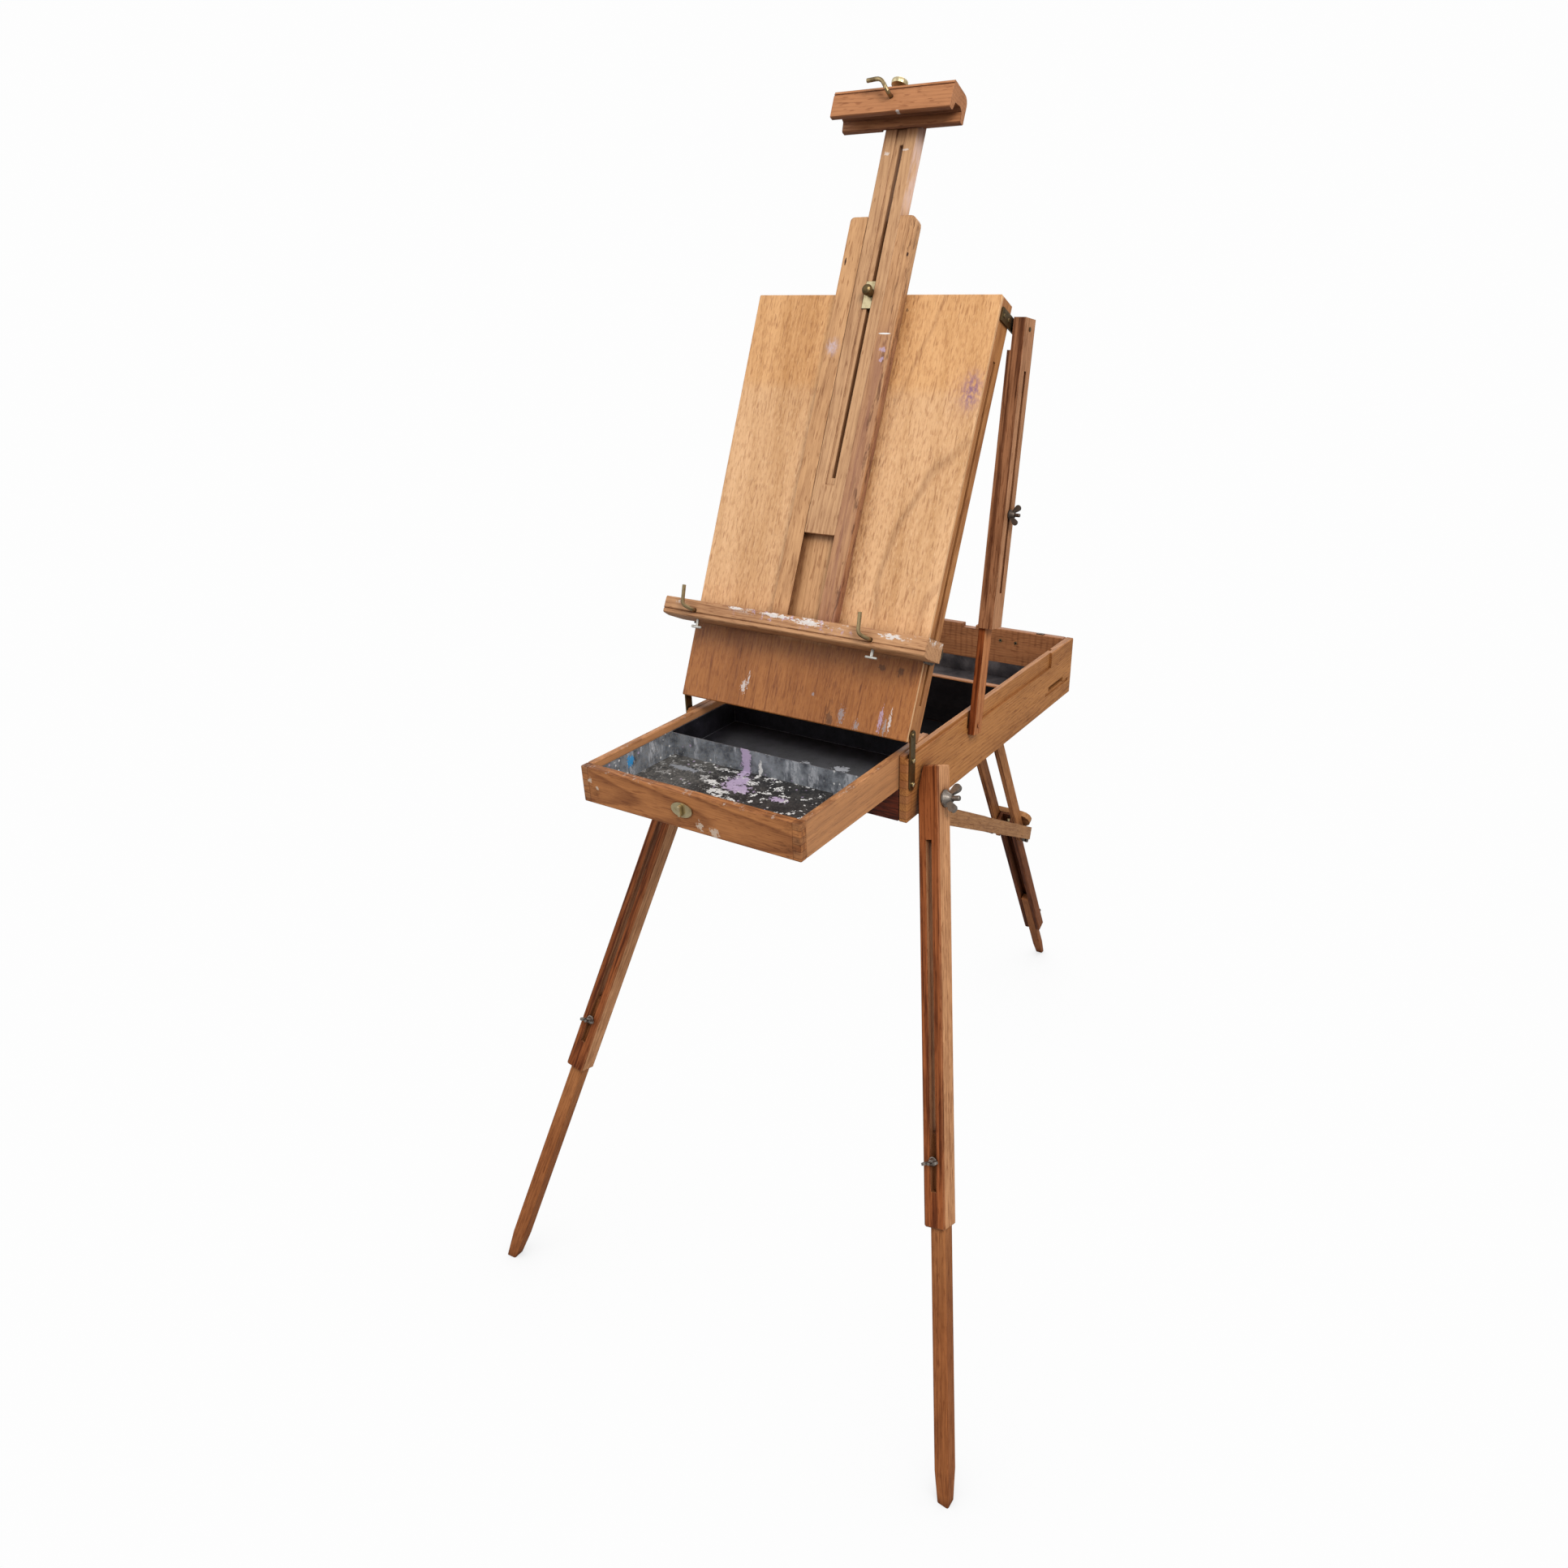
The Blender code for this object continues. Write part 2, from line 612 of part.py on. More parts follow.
def make_mast():
    half = MAST_WIDTH / 2
    front = -MAST_PROUD
    outline = ([(-half, MAST_BOTTOM), (half, MAST_BOTTOM)]
               + arc((half - 0.010, MAST_TOP - 0.010), 0.010, 0, 90, 4)
               + arc((-half + 0.005, MAST_TOP - 0.005), 0.005, 90, 180, 3))
    outline = [(x, s - HINGE_S) for x, s in outline]
    outer = extrude("mast_outer", outline, MAST_PROUD + MAST_BACK, "y", "mast_beech",
                    panel_frame, (0, (front + MAST_BACK) / 2 - HINGE_D, 0))
    boolean(outer, dovetail("mast_channel", GAP, (0, 1), cutter=True))
    bevel(outer, 0.0012)

    inner = dovetail("mast_inner", 0, (INNER_BOTTOM, INNER_TOP))
    boolean(inner, on_panel("plate_groove", MAST_GROOVE, (front - 0.01, front + MAST_GROOVE_DEPTH),
                            (0.290, 1), cutter=True))
    boolean(inner, on_panel("clamp_slot", MAST_SLOT, (-0.05, 0.05), (0.299, 0.697),
                            cutter=True))
    bevel(inner, 0.0006)

    plate_d = (front + 0.0006, front + 0.0018)
    plate = on_panel("mast_plate", (MAST_GROOVE[0] + GAP, MAST_GROOVE[1] - GAP), plate_d,
                     (KNOB_S - 0.018, KNOB_S + 0.014), "brass")
    knob_x = (MAST_SLOT[0] + MAST_SLOT[1]) / 2
    hole = rod("plate_hole", 0.0024, (knob_x, -0.05, KNOB_S - HINGE_S),
               (knob_x, 0.02, KNOB_S - HINGE_S), parent=panel_frame, cutter=True, segments=14)
    boolean(plate, hole)
    knob_place = (knob_x, front - GAP - HINGE_D, KNOB_S - HINGE_S)
    profile = [(0, 0.0135), (0.0030, 0.0131), (0.0054, 0.0115), (0.0066, 0.0090),
               (0.0064, 0.0065), (0.0050, 0.0045), (0.0044, 0.0030), (0.0050, 0.0012),
               (0.0050, 0), (0.0019, 0), (0.0019, -0.0098), (0, -0.0098)]
    turned("mast_knob", profile, knob_place, (0, -1, 0), "old_brass", panel_frame)


def make_clamp():
    """Block across the mast's top, with a channel between two jaws."""
    front = -CLAMP_FRONT
    back = -CLAMP_BACK
    outline = [(front, CLAMP_BOTTOM + 0.0018), (front, CLAMP_TOP - 0.0050),
               (front + 0.0010, CLAMP_TOP - 0.0044), (front + 0.0010, CLAMP_TOP - 0.0036),
               (front + 0.0002, CLAMP_TOP - 0.0030), (front + 0.0012, CLAMP_TOP)]
    outline += arc((back - 0.009, CLAMP_TOP - 0.009), 0.009, 90, 0, 4)
    outline += [(back, CLAMP_BOTTOM + 0.0015), (back - 0.0015, CLAMP_BOTTOM),
                (back - 0.0065, CLAMP_BOTTOM), (back - 0.0080, CLAMP_BOTTOM + 0.0015),
                (back - 0.0095, CLAMP_BOTTOM + 0.0110), (back - 0.0150, CLAMP_BOTTOM + 0.0135),
                (front + 0.0110, CLAMP_BOTTOM + 0.0110), (front + 0.0080, CLAMP_BOTTOM + 0.0020),
                (front + 0.0060, CLAMP_BOTTOM + 0.0008), (front + 0.0012, CLAMP_BOTTOM + 0.0008)]
    outline = [(d - HINGE_D, s - HINGE_S) for d, s in outline]
    clamp = extrude("top_clamp", outline, CLAMP_WIDTH, "x", "clamp_beech", panel_frame,
                    (CLAMP_X, 0, 0))
    notch = DOVETAIL_REAR + 2 * GAP
    boolean(clamp, on_panel("mast_notch", (-notch, notch), (-MAST_PROUD - GAP, 0.02),
                            (0.70, INNER_TOP + GAP), cutter=True))
    hook_x = -0.002
    hook_s = 0.7328
    hole = rod("clamp_hook_hole", WIRE_RADIUS + GAP, (hook_x, -0.06, hook_s - HINGE_S),
               (hook_x, -0.0200 - HINGE_D, hook_s - HINGE_S), parent=panel_frame, cutter=True,
               segments=12)
    boolean(clamp, hole)
    points = [(hook_x, -0.0215, hook_s), (hook_x, -0.0575, hook_s),
              (hook_x - 0.010, -0.0595, hook_s + 0.0145), (hook_x - 0.029, -0.0595, hook_s + 0.0130)]
    points = [(x, d - HINGE_D, s - HINGE_S) for x, d, s in points]
    wire("clamp_hook", points, WIRE_RADIUS, "brass", panel_frame, 0.0075)
    screw = Vector((-0.0035, -0.032 - HINGE_D, 0.7360 - HINGE_S))
    stem = rod("clamp_screw_hole", 0.0025, screw + Vector((0, 0, 0.0010)),
               screw + Vector((0, 0, 0.05)), parent=panel_frame, cutter=True, segments=12)
    boolean(clamp, stem)
    profile = [(0, 0.0240), (0.0075, 0.0240), (0.0098, 0.0225), (0.0102, 0.0200),
               (0.0098, 0.0175), (0.0060, 0.0165), (0.0022, 0.0160), (0.0022, 0.0015),
               (0, 0.0015)]
    turned("clamp_screw", profile, screw, (0, 0, 1), "brass", panel_frame)


# ---------------------------------------------------------------------- ledge
def make_ledge():
    back = -0.0008
    outline = [(back, LEDGE_BOTTOM), (back, LEDGE_TOP), (-0.0425, LEDGE_TOP),
               (-LEDGE_FRONT + 0.001, LEDGE_TOP - 0.0025),
               (-LEDGE_FRONT, LEDGE_BOTTOM + 0.0090), (-LEDGE_FRONT + 0.0012, LEDGE_BOTTOM + 0.0080),
               (-LEDGE_FRONT, LEDGE_BOTTOM + 0.0070), (-LEDGE_FRONT, LEDGE_BOTTOM + 0.0035),
               (-LEDGE_FRONT + 0.0015, LEDGE_BOTTOM + 0.0020), (-0.032, LEDGE_BOTTOM)]
    outline = [(d - HINGE_D, s - HINGE_S) for d, s in outline]
    ledge = extrude("ledge", outline, LEDGE_WIDTH, "x", "clamp_beech", panel_frame)
    notch = MAST_WIDTH / 2 + 0.001
    boolean(ledge, on_panel("ledge_notch", (-notch, notch), (-MAST_PROUD - 0.0012, 0.02),
                            (0, 1), cutter=True))
    middle = LEDGE_TOP - 0.0133
    for index, x in enumerate(HOOK_X):
        side = ("left", "right")[index]
        boolean(ledge, rod(f"hook_hole_{side}", WIRE_RADIUS + GAP,
                           (x, -0.06, middle - HINGE_S), (x, -0.0205 - HINGE_D, middle - HINGE_S),
                           parent=panel_frame, cutter=True, segments=12))
        boolean(ledge, rod(f"screw_hole_{side}", 0.0024,
                           (x, HOOK_SCREW_D - HINGE_D, 0.05 - HINGE_S),
                           (x, HOOK_SCREW_D - HINGE_D, LEDGE_BOTTOM + 0.006 - HINGE_S),
                           parent=panel_frame, cutter=True, segments=12))
        points = [(x, -0.0215, middle), (x, -0.0490, middle),
                  (x - 0.0110, -0.0580, middle + 0.0035), (x - 0.0140, -0.0580, middle + 0.0285)]
        points = [(px, d - HINGE_D, s - HINGE_S) for px, d, s in points]
        wire("hook_" + side, points, WIRE_RADIUS, "old_brass", panel_frame, 0.0055)
        make_thumb_screw(side, x)
        make_ledge_guide(side, (-1, 1)[index])
    bevel(ledge, 0.0008)


def make_thumb_screw(side, x):
    """Small T-handled screw under the ledge that locks a hook."""
    top = LEDGE_BOTTOM + 0.005 - HINGE_S
    d = HOOK_SCREW_D - HINGE_D
    stem = rod("hook_screw_" + side, 0.0020, (x, d, top - 0.0125), (x, d, top), "brass",
               panel_frame, segments=12)
    handle = block(f"handle_{side}", (x - 0.0082, x + 0.0082), (d - 0.0019, d + 0.0019),
                   (top - 0.0155, top - 0.0120), parent=panel_frame, cutter=True)
    bevel(handle, 0.0012, 2)
    boolean(stem, handle, "UNION")


def make_ledge_guide(side, sign):
    """Plate behind the ledge's end, with a stud that runs in the side groove."""
    inner = PANEL_WIDTH / 2 + GAP
    s = GUIDE_S - HINGE_S
    front = -GAP - HINGE_D
    rear = GUIDE_D + 0.002 - HINGE_D
    half = 0.015
    corner = 0.008
    outline = ([(front, s - half)] + arc((rear, s - half + corner), corner, -90, 0, 4)
               + arc((rear, s + half - corner), corner, 0, 90, 4) + [(front, s + half)])
    x = sign * (inner + 0.0012)
    plate = extrude("ledge_guide_" + side, outline, 0.0024, "x", "old_brass", panel_frame,
                    (x, 0, 0))
    stud = rod("guide_stud_" + side, 0.0023, (sign * (PANEL_WIDTH / 2 - 0.005), GUIDE_D - HINGE_D, s),
               (sign * (inner + 0.0045), GUIDE_D - HINGE_D, s), parent=panel_frame, cutter=True,
               segments=14)
    boolean(plate, stud, "UNION")
    knob = rod("guide_head_" + side, 0.0062, (sign * (inner + 0.0020), GUIDE_D - HINGE_D, s),
               (sign * (inner + 0.0062), GUIDE_D - HINGE_D, s), parent=panel_frame, cutter=True,
               segments=16, end_radius=0.0048)
    boolean(plate, knob, "UNION")


# --------------------------------------------------------------------- struts
def strut_axes():
    """Local X, Y (rearwards) and Z (up the strut), and its length pin to pin."""
    pin = panel_point(0, STRUT_PIN_D, STRUT_PIN_S)
    foot = Vector((0, STRUT_FOOT_Y, BOX_BOTTOM + STRUT_FOOT_Z))
    up = (pin - foot).normalized()
    rear = up.cross(Vector((1, 0, 0)))
    return (Vector((1, 0, 0)), rear, up), pin, (pin - foot).length


def make_struts():
    axes, pin, span = strut_axes()
    for side, sign in (("left", -1), ("right", 1)):
        hung = frame("strut_frame_" + side, pin, axes, easel_frame)
        x = sorted((sign * STRUT_INNER, sign * STRUT_OUTER))
        depth = STRUT_DEPTH / 2
        upper = block("strut_upper_" + side, x, (-depth, depth),
                      (0.012 - STRUT_LENGTH, 0.012), "leg_beech", hung)
        cavity = LOWER_DEPTH / 2 + 0.0004
        web = STRUT_INNER + LOWER_THICK + 0.0016
        inside = sorted((sign * (STRUT_INNER - 0.01), sign * web))
        box_cut(upper, side + "_strut_cavity", inside, (-cavity, cavity), (-0.5, -0.022), hung)
        step = sorted((sign * (STRUT_INNER - 0.01), sign * (STRUT_INNER + 0.0045)))
        box_cut(upper, side + "_strut_step", step, (-0.05, 0.05), (-0.024, 0.05), hung)
        slot = sorted((sign * (web - 0.001), sign * (STRUT_OUTER + 0.01)))
        box_cut(upper, side + "_strut_slot", slot, (-0.0030, 0.0030), (-0.309, -0.046), hung)
        boolean(upper, rod(side + "_pin_hole", 0.0027, (sign * 0.16, 0, 0), (sign * 0.21, 0, 0),
                           parent=hung, cutter=True, segments=14))
        lower = block("strut_lower_" + side,
                      sorted((sign * STRUT_INNER, sign * (STRUT_INNER + LOWER_THICK))),
                      (-LOWER_DEPTH / 2, LOWER_DEPTH / 2),
                      (-span - 0.012, -span - 0.012 + LOWER_LENGTH), "leg_beech", hung)
        screw = rod(side + "_foot_screw", 0.0042,
                    (sign * (STRUT_INNER + LOWER_THICK - 0.001), 0, -span),
                    (sign * (STRUT_INNER + LOWER_THICK + 0.0012), 0, -span), parent=hung,
                    cutter=True, segments=14, end_radius=0.0032)
        boolean(lower, screw, "UNION")
        place = Vector((sign * (STRUT_OUTER + GAP), 0, STRUT_BOLT - span))
        nut = wing_nut("strut_nut_" + side, place, (sign, 0, 0), (0, 0.35, 1), "dark_steel",
                       hung, size=0.8)
        shank = rod(side + "_strut_shank", 0.0022,
                    (sign * (STRUT_INNER + LOWER_THICK + 0.0003), 0, STRUT_BOLT - span),
                    (sign * (STRUT_OUTER + 0.004), 0, STRUT_BOLT - span), parent=hung,
                    cutter=True, segments=12)
        boolean(nut, shank, "UNION")


# ----------------------------------------------------------------- front legs
def leg_axes(sign):
    """Local X (the fold axis), Y (rearwards) and Z (up the leg)."""
    down = Vector((sign * (FOOT.x - LEG_PIVOT.x), FOOT.y - LEG_PIVOT.y, FOOT.z - LEG_PIVOT.z))
    down.normalize()
    fold = Vector((0, 1, 0)).cross(down)
    fold.normalize()
    if fold.x < 0:
        fold = -fold
    return fold, (-down).cross(fold), -down


def extension_bar(name, width, depth, length, parent, offset_y, top):
    """A bar whose foot tapers; top is its upper end below the frame."""
    bm = bmesh.new()
    bmesh.ops.create_cube(bm, size=1.0, matrix=Matrix.Diagonal((width, depth, length, 1.0)))
    cut = -length / 2 + TAPER_LENGTH
    bmesh.ops.bisect_plane(bm, geom=bm.verts[:] + bm.edges[:] + bm.faces[:],
                           plane_co=(0, 0, cut), plane_no=(0, 0, 1))
    for vert in bm.verts:
        if vert.co.z < cut - 0.001:
            vert.co.x *= TAPER_TIP
            vert.co.y *= TAPER_TIP
    bar = finish(mesh_of(bm, name), name, "leg_beech", parent,
                 (0, offset_y, -top - length / 2))
    bevel(bar, 0.0022, 2)
    return bar


def make_front_leg(side, sign):
    """An upper leg with a groove behind, and the extension that slides in it."""
    fold, rear, up = leg_axes(sign)
    pivot = Vector((sign * LEG_PIVOT.x, LEG_PIVOT.y, LEG_PIVOT.z))
    reach = (FOOT - LEG_PIVOT).length
    hung = frame("leg_frame_" + side, pivot, (fold, rear, up), easel_frame)
    half = LEG_WIDTH / 2
    depth = LEG_DEPTH / 2
    leg = block("front_leg_" + side, (-half, half), (-depth, depth), (-LEG_BELOW, LEG_ABOVE),
                "leg_beech", hung)
    bevel(leg, 0.0020)
    groove = LEG_GROOVE / 2
    floor = LEG_WEB - depth
    box_cut(leg, side + "_leg_groove", (-groove, groove), (floor, 0.05), (-1, -0.056), hung)
    box_cut(leg, side + "_leg_slot", (-0.0041, 0.0041), (-0.05, 0), (-0.496, -0.051), hung)
    reach_in = 0.05
    cone = turned(side + "_leg_clearance",
                  [(0, -LEG_CLEAR), (reach_in, reach_in * LEG_CLEAR_SLOPE - LEG_CLEAR),
                   (reach_in, -0.04), (0, -0.04)],
                  (0, 0, 0), (sign, 0, 0), None, hung, cutter=True)
    boolean(cone, block(side + "_leg_below", (-1, 1), (-1, 1), (-1, 0), parent=hung, cutter=True))
    boolean(leg, cone)

    foot = extension_bar("front_extension_" + side, EXTENSION, EXTENSION,
                         reach + 0.012 - EXTENSION_TOP, hung, floor + GAP + EXTENSION / 2,
                         EXTENSION_TOP)
    ground = block(side + "_ground", (-1, 1), (-1, 1), (-0.2, 0), parent=easel_frame,
                   cutter=True)
    boolean(foot, ground)

    wing_nut("leg_nut_" + side, (sign * (half + GAP), 0, 0), (sign, 0, 0), (0, 0.5, 1),
             "dark_steel", hung, size=1.22, hub=0.0078)
    ext_nut = wing_nut("extension_nut_" + side, (0, -depth - GAP, -EXTENSION_BOLT), (0, -1, 0),
                       (1, 0, 0.25), "dark_steel", hung, size=0.75)
    shank = rod(side + "_extension_shank", 0.0024, (0, -depth - 0.003, -EXTENSION_BOLT),
                (0, floor, -EXTENSION_BOLT), parent=hung, cutter=True,
                segments=12)
    boolean(ext_nut, shank, "UNION")


# ------------------------------------------------------------------- rear leg
def rear_axes():
    """Local X, Y (rearwards) and Z (up the leg)."""
    up = Vector((0, -sin(REAR_LEAN), cos(REAR_LEAN)))
    return Vector((1, 0, 0)), up.cross(Vector((1, 0, 0))), up


def make_rear_leg():
    height = BOX_BOTTOM + REAR_PIVOT_Z
    hung = frame("rear_leg_frame", (0, REAR_PIVOT_Y, height), rear_axes(), easel_frame)
    for side, sign in (("left", -1), ("right", 1)):
        x = sign * (RAIL_GAP + RAIL_THICK) / 2
        outline = (arc((0, 0), RAIL_FRONT, 180, 50, 6)
                   + [(RAIL_BACK, -0.002), (RAIL_BACK, -RAIL_LENGTH), (-RAIL_FRONT, -RAIL_LENGTH)])
        rail = extrude("rear_rail_" + side, outline, RAIL_THICK, "x", "leg_beech", hung,
                       (x, 0, 0))
        bevel(rail, 0.0015)
    middle = CROSS_HALF - CROSS_ROUND
    cross = (arc((middle, 0), CROSS_ROUND, -90, 90, 6)
             + arc((-middle, 0), CROSS_ROUND, 90, 270, 6))
    crosspiece = extrude("rear_crosspiece", cross, 0.011, "y", "leg_beech", hung,
                         (0, RAIL_BACK + GAP + 0.0055, -CROSS_T))
    boolean(crosspiece, rod("cross_hole", 0.0030, (0, 0, -CROSS_T), (0, 0.05, -CROSS_T),
                            parent=hung, cutter=True, segments=14))

    half = RAIL_GAP / 2 - GAP
    channel = block("rear_channel", (-half, half), (-RAIL_FRONT + GAP, RAIL_BACK),
                    (-CHANNEL_END, -CHANNEL_TOP), "leg_beech", hung)
    bevel(channel, 0.0020)
    groove = REAR_EXT / 2 + 0.0004
    box_cut(channel, "rear_groove", (-groove, groove), (-0.05, RAIL_BACK - 0.0050),
            (-1, 0), hung)
    box_cut(channel, "rear_slot", (-0.0032, 0.0032), (0, 0.05), (-0.775, -0.396), hung)

    profile = [(0, 0.0030), (0.0034, 0.0026), (0.0056, 0.0012), (0.0062, 0), (0.0026, 0),
               (0.0026, -0.0230), (0, -0.0230)]
    turned("rear_bolt", profile, (0, RAIL_BACK - 0.0050 - GAP, -CROSS_T), (0, -1, 0),
           "brass", hung)

    reach = -height / cos(REAR_LEAN)
    length = -reach + 0.014 - REAR_EXT_TOP
    front = -RAIL_FRONT + GAP
    extension = extension_bar("rear_extension", REAR_EXT, REAR_EXT_DEPTH, length, hung,
                              front + REAR_EXT_DEPTH / 2, REAR_EXT_TOP)
    ground = block("rear_ground", (-1, 1), (-1, 1), (-0.2, 0), parent=easel_frame,
                   cutter=True)
    boolean(extension, ground)
    nut = wing_nut("rear_nut", (0, RAIL_BACK + GAP, -REAR_BOLT_T), (0, 1, 0), (1, 0, 0.2),
                   "dark_steel", hung, size=0.75)
    shank = rod("rear_shank", 0.0022, (0, RAIL_BACK + 0.003, -REAR_BOLT_T),
                (0, front + REAR_EXT_DEPTH + GAP, -REAR_BOLT_T), parent=hung, cutter=True,
                segments=12)
    boolean(nut, shank, "UNION")


def make_stretchers():
    """Thin bars from under the box to the sides of the rear leg."""
    _, rear, up = rear_axes()
    joined = Vector((0, REAR_PIVOT_Y, REAR_PIVOT_Z)) - up * STRETCHER_T - rear * STRETCHER_AHEAD
    for side, sign in (("left", -1), ("right", 1)):
        start = Vector((sign * STRETCHER_PIVOT.x, STRETCHER_PIVOT.y, STRETCHER_PIVOT.z))
        end = Vector((sign * (CROSS_HALF + 0.0055), joined.y, joined.z))
        along = (end - start).normalized()
        level = Vector((along.y, -along.x, 0)).normalized()
        hung = frame("stretcher_frame_" + side, start + Vector((0, 0, BOX_BOTTOM)),
                     (level, along, level.cross(along)), easel_frame)
        length = (end - start).length
        half = STRETCHER_HEIGHT / 2
        outline = arc((0.002, 0), half, 90, 270, 5) + [(length, -half), (length, half)]
        extrude("stretcher_" + side, outline, STRETCHER_THICK, "x", "leg_beech", hung)


# ---------------------------------------------------------------------- build
easel_frame = frame("easel_frame", (0, BOX_Y, 0))
make_box()
make_drawer()
panel_frame = frame("panel_frame", panel_point(0, HINGE_D, HINGE_S), panel_axes(), easel_frame)
make_panel()
make_mast()
make_clamp()
make_ledge()
make_struts()
for leg_side, leg_sign in (("left", -1), ("right", 1)):
    make_front_leg(leg_side, leg_sign)
make_rear_leg()
make_stretchers()
bpy.context.view_layer.update()
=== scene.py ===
"""Looks of the french box easel: varnished, paint-marked wood, brass and steel.

Every CAD node keeps its shape and gets a procedural material.  Small fittings
that the CAD leaves out are built here and ride on the CAD bodies.
"""
import json
from math import cos, radians, sin

import bmesh
import bpy
from mathutils import Matrix, Vector


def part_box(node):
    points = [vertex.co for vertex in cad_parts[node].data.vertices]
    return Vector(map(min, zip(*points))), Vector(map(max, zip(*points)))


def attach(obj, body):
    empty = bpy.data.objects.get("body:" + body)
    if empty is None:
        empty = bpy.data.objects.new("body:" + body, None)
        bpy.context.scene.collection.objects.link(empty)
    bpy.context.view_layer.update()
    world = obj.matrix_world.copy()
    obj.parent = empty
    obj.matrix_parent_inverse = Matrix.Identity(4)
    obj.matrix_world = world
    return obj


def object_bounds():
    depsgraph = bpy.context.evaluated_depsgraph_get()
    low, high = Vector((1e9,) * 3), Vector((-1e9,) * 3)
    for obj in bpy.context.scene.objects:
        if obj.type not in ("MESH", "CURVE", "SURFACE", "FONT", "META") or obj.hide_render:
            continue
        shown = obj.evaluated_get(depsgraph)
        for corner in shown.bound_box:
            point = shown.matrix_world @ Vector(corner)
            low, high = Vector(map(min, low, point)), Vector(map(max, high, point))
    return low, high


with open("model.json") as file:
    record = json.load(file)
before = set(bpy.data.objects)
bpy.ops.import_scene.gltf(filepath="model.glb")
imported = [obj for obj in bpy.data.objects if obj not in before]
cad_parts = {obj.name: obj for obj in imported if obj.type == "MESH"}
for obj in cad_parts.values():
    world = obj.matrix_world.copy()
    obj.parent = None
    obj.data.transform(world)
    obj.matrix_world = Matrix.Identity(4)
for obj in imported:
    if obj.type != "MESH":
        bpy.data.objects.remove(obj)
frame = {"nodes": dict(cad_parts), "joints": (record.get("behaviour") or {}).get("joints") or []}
CAD_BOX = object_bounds()
JOINTS = {joint["name"]: joint for joint in frame["joints"]}


def joint_axis(name):
    """The way a joint turns or slides, of length 1."""
    return Vector(JOINTS[name]["axis"]).normalized()


def joint_place(name):
    """A point on a joint's axis, at rest."""
    return Vector(JOINTS[name]["pos_m"])


# -------------------------------------------------------------------- places
X = Vector((1, 0, 0))
Y = Vector((0, 1, 0))
Z = Vector((0, 0, 1))

PANEL_UP = -joint_axis("ledge_slide")
PANEL_REAR = joint_axis("hook_left_swing")
HINGE_BACK = 0.011      # the panel hinge, behind the panel's front face
HINGE_UP = 0.010        # and above its lower edge
PANEL_FOOT = joint_place("panel_fold") - PANEL_REAR * HINGE_BACK - PANEL_UP * HINGE_UP

BOX_LOW, BOX_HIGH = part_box("box_side_right")
DRAWER_LOW, DRAWER_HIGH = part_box("drawer_front")


class Grain:
    """A board's own axes: across it, through it, and along its grain."""

    def __init__(self, origin, across, depth, along):
        self.origin = Vector(origin)
        self.across = Vector(across)
        self.depth = Vector(depth)
        self.along = Vector(along)


def leg_grain(fold, slide):
    """The axes of a leg: its fold axis is across, and its slide runs up it."""
    across = joint_axis(fold)
    up = joint_axis(slide)
    return Grain(joint_place(fold), across, up.cross(across), up)


ON_PANEL = Grain(PANEL_FOOT, X, PANEL_REAR, PANEL_UP)
BOX_CORNER = Vector((0, BOX_LOW.y, BOX_LOW.z))
BOX_ALONG = Grain(BOX_CORNER, Z, X, Y)
BOX_ACROSS = Grain(BOX_CORNER, Z, Y, X)
DRAWER_FOOT = Vector((0, DRAWER_LOW.y, DRAWER_LOW.z))
DRAWER_ALONG = Grain(DRAWER_FOOT, Z, X, Y)
DRAWER_ACROSS = Grain(DRAWER_FOOT, Z, Y, X)
PANEL_ACROSS = Grain(PANEL_FOOT, PANEL_UP, PANEL_REAR, X)
STRUT = Grain(joint_place("strut_upper_right_turn"), X,
              joint_axis("strut_lower_right_slide").cross(X),
              joint_axis("strut_lower_right_slide"))
REAR_UP = joint_axis("rear_channel_slide")
REAR = Grain(joint_place("rear_leg_fold"), X, REAR_UP.cross(X), REAR_UP)


# ------------------------------------------------------------- node materials
def rgb(red, green, blue):
    """A linear colour from 0 to 255 values, by the sRGB curve."""
    def linear(value):
        value /= 255
        return value / 12.92 if value <= 0.04045 else ((value + 0.055) / 1.055) ** 2.4
    return (linear(red), linear(green), linear(blue), 1.0)


WOOD_SHINE = 0.25       # specular levels of varnished and of bare, weathered wood
LEG_SHINE = 0.12
PAINT_ROUGH = 0.6       # roughness of dried paint
BUMP_STRENGTH = 0.6
COAT_ROUGH = 0.25
FLECK_SHADE = (0.50, 0.36, 0.26, 1.0)       # these multiply a wood's own colour
EDGE_SHADE = (0.46, 0.34, 0.25, 1.0)
NICK_SHADE = (0.32, 0.23, 0.17, 1.0)
# multiplies dirt into joint lines, and painted shade into corners and grooves
DIRT_AND_CREVICE_SHADE = (0.30, 0.20, 0.14, 1.0)


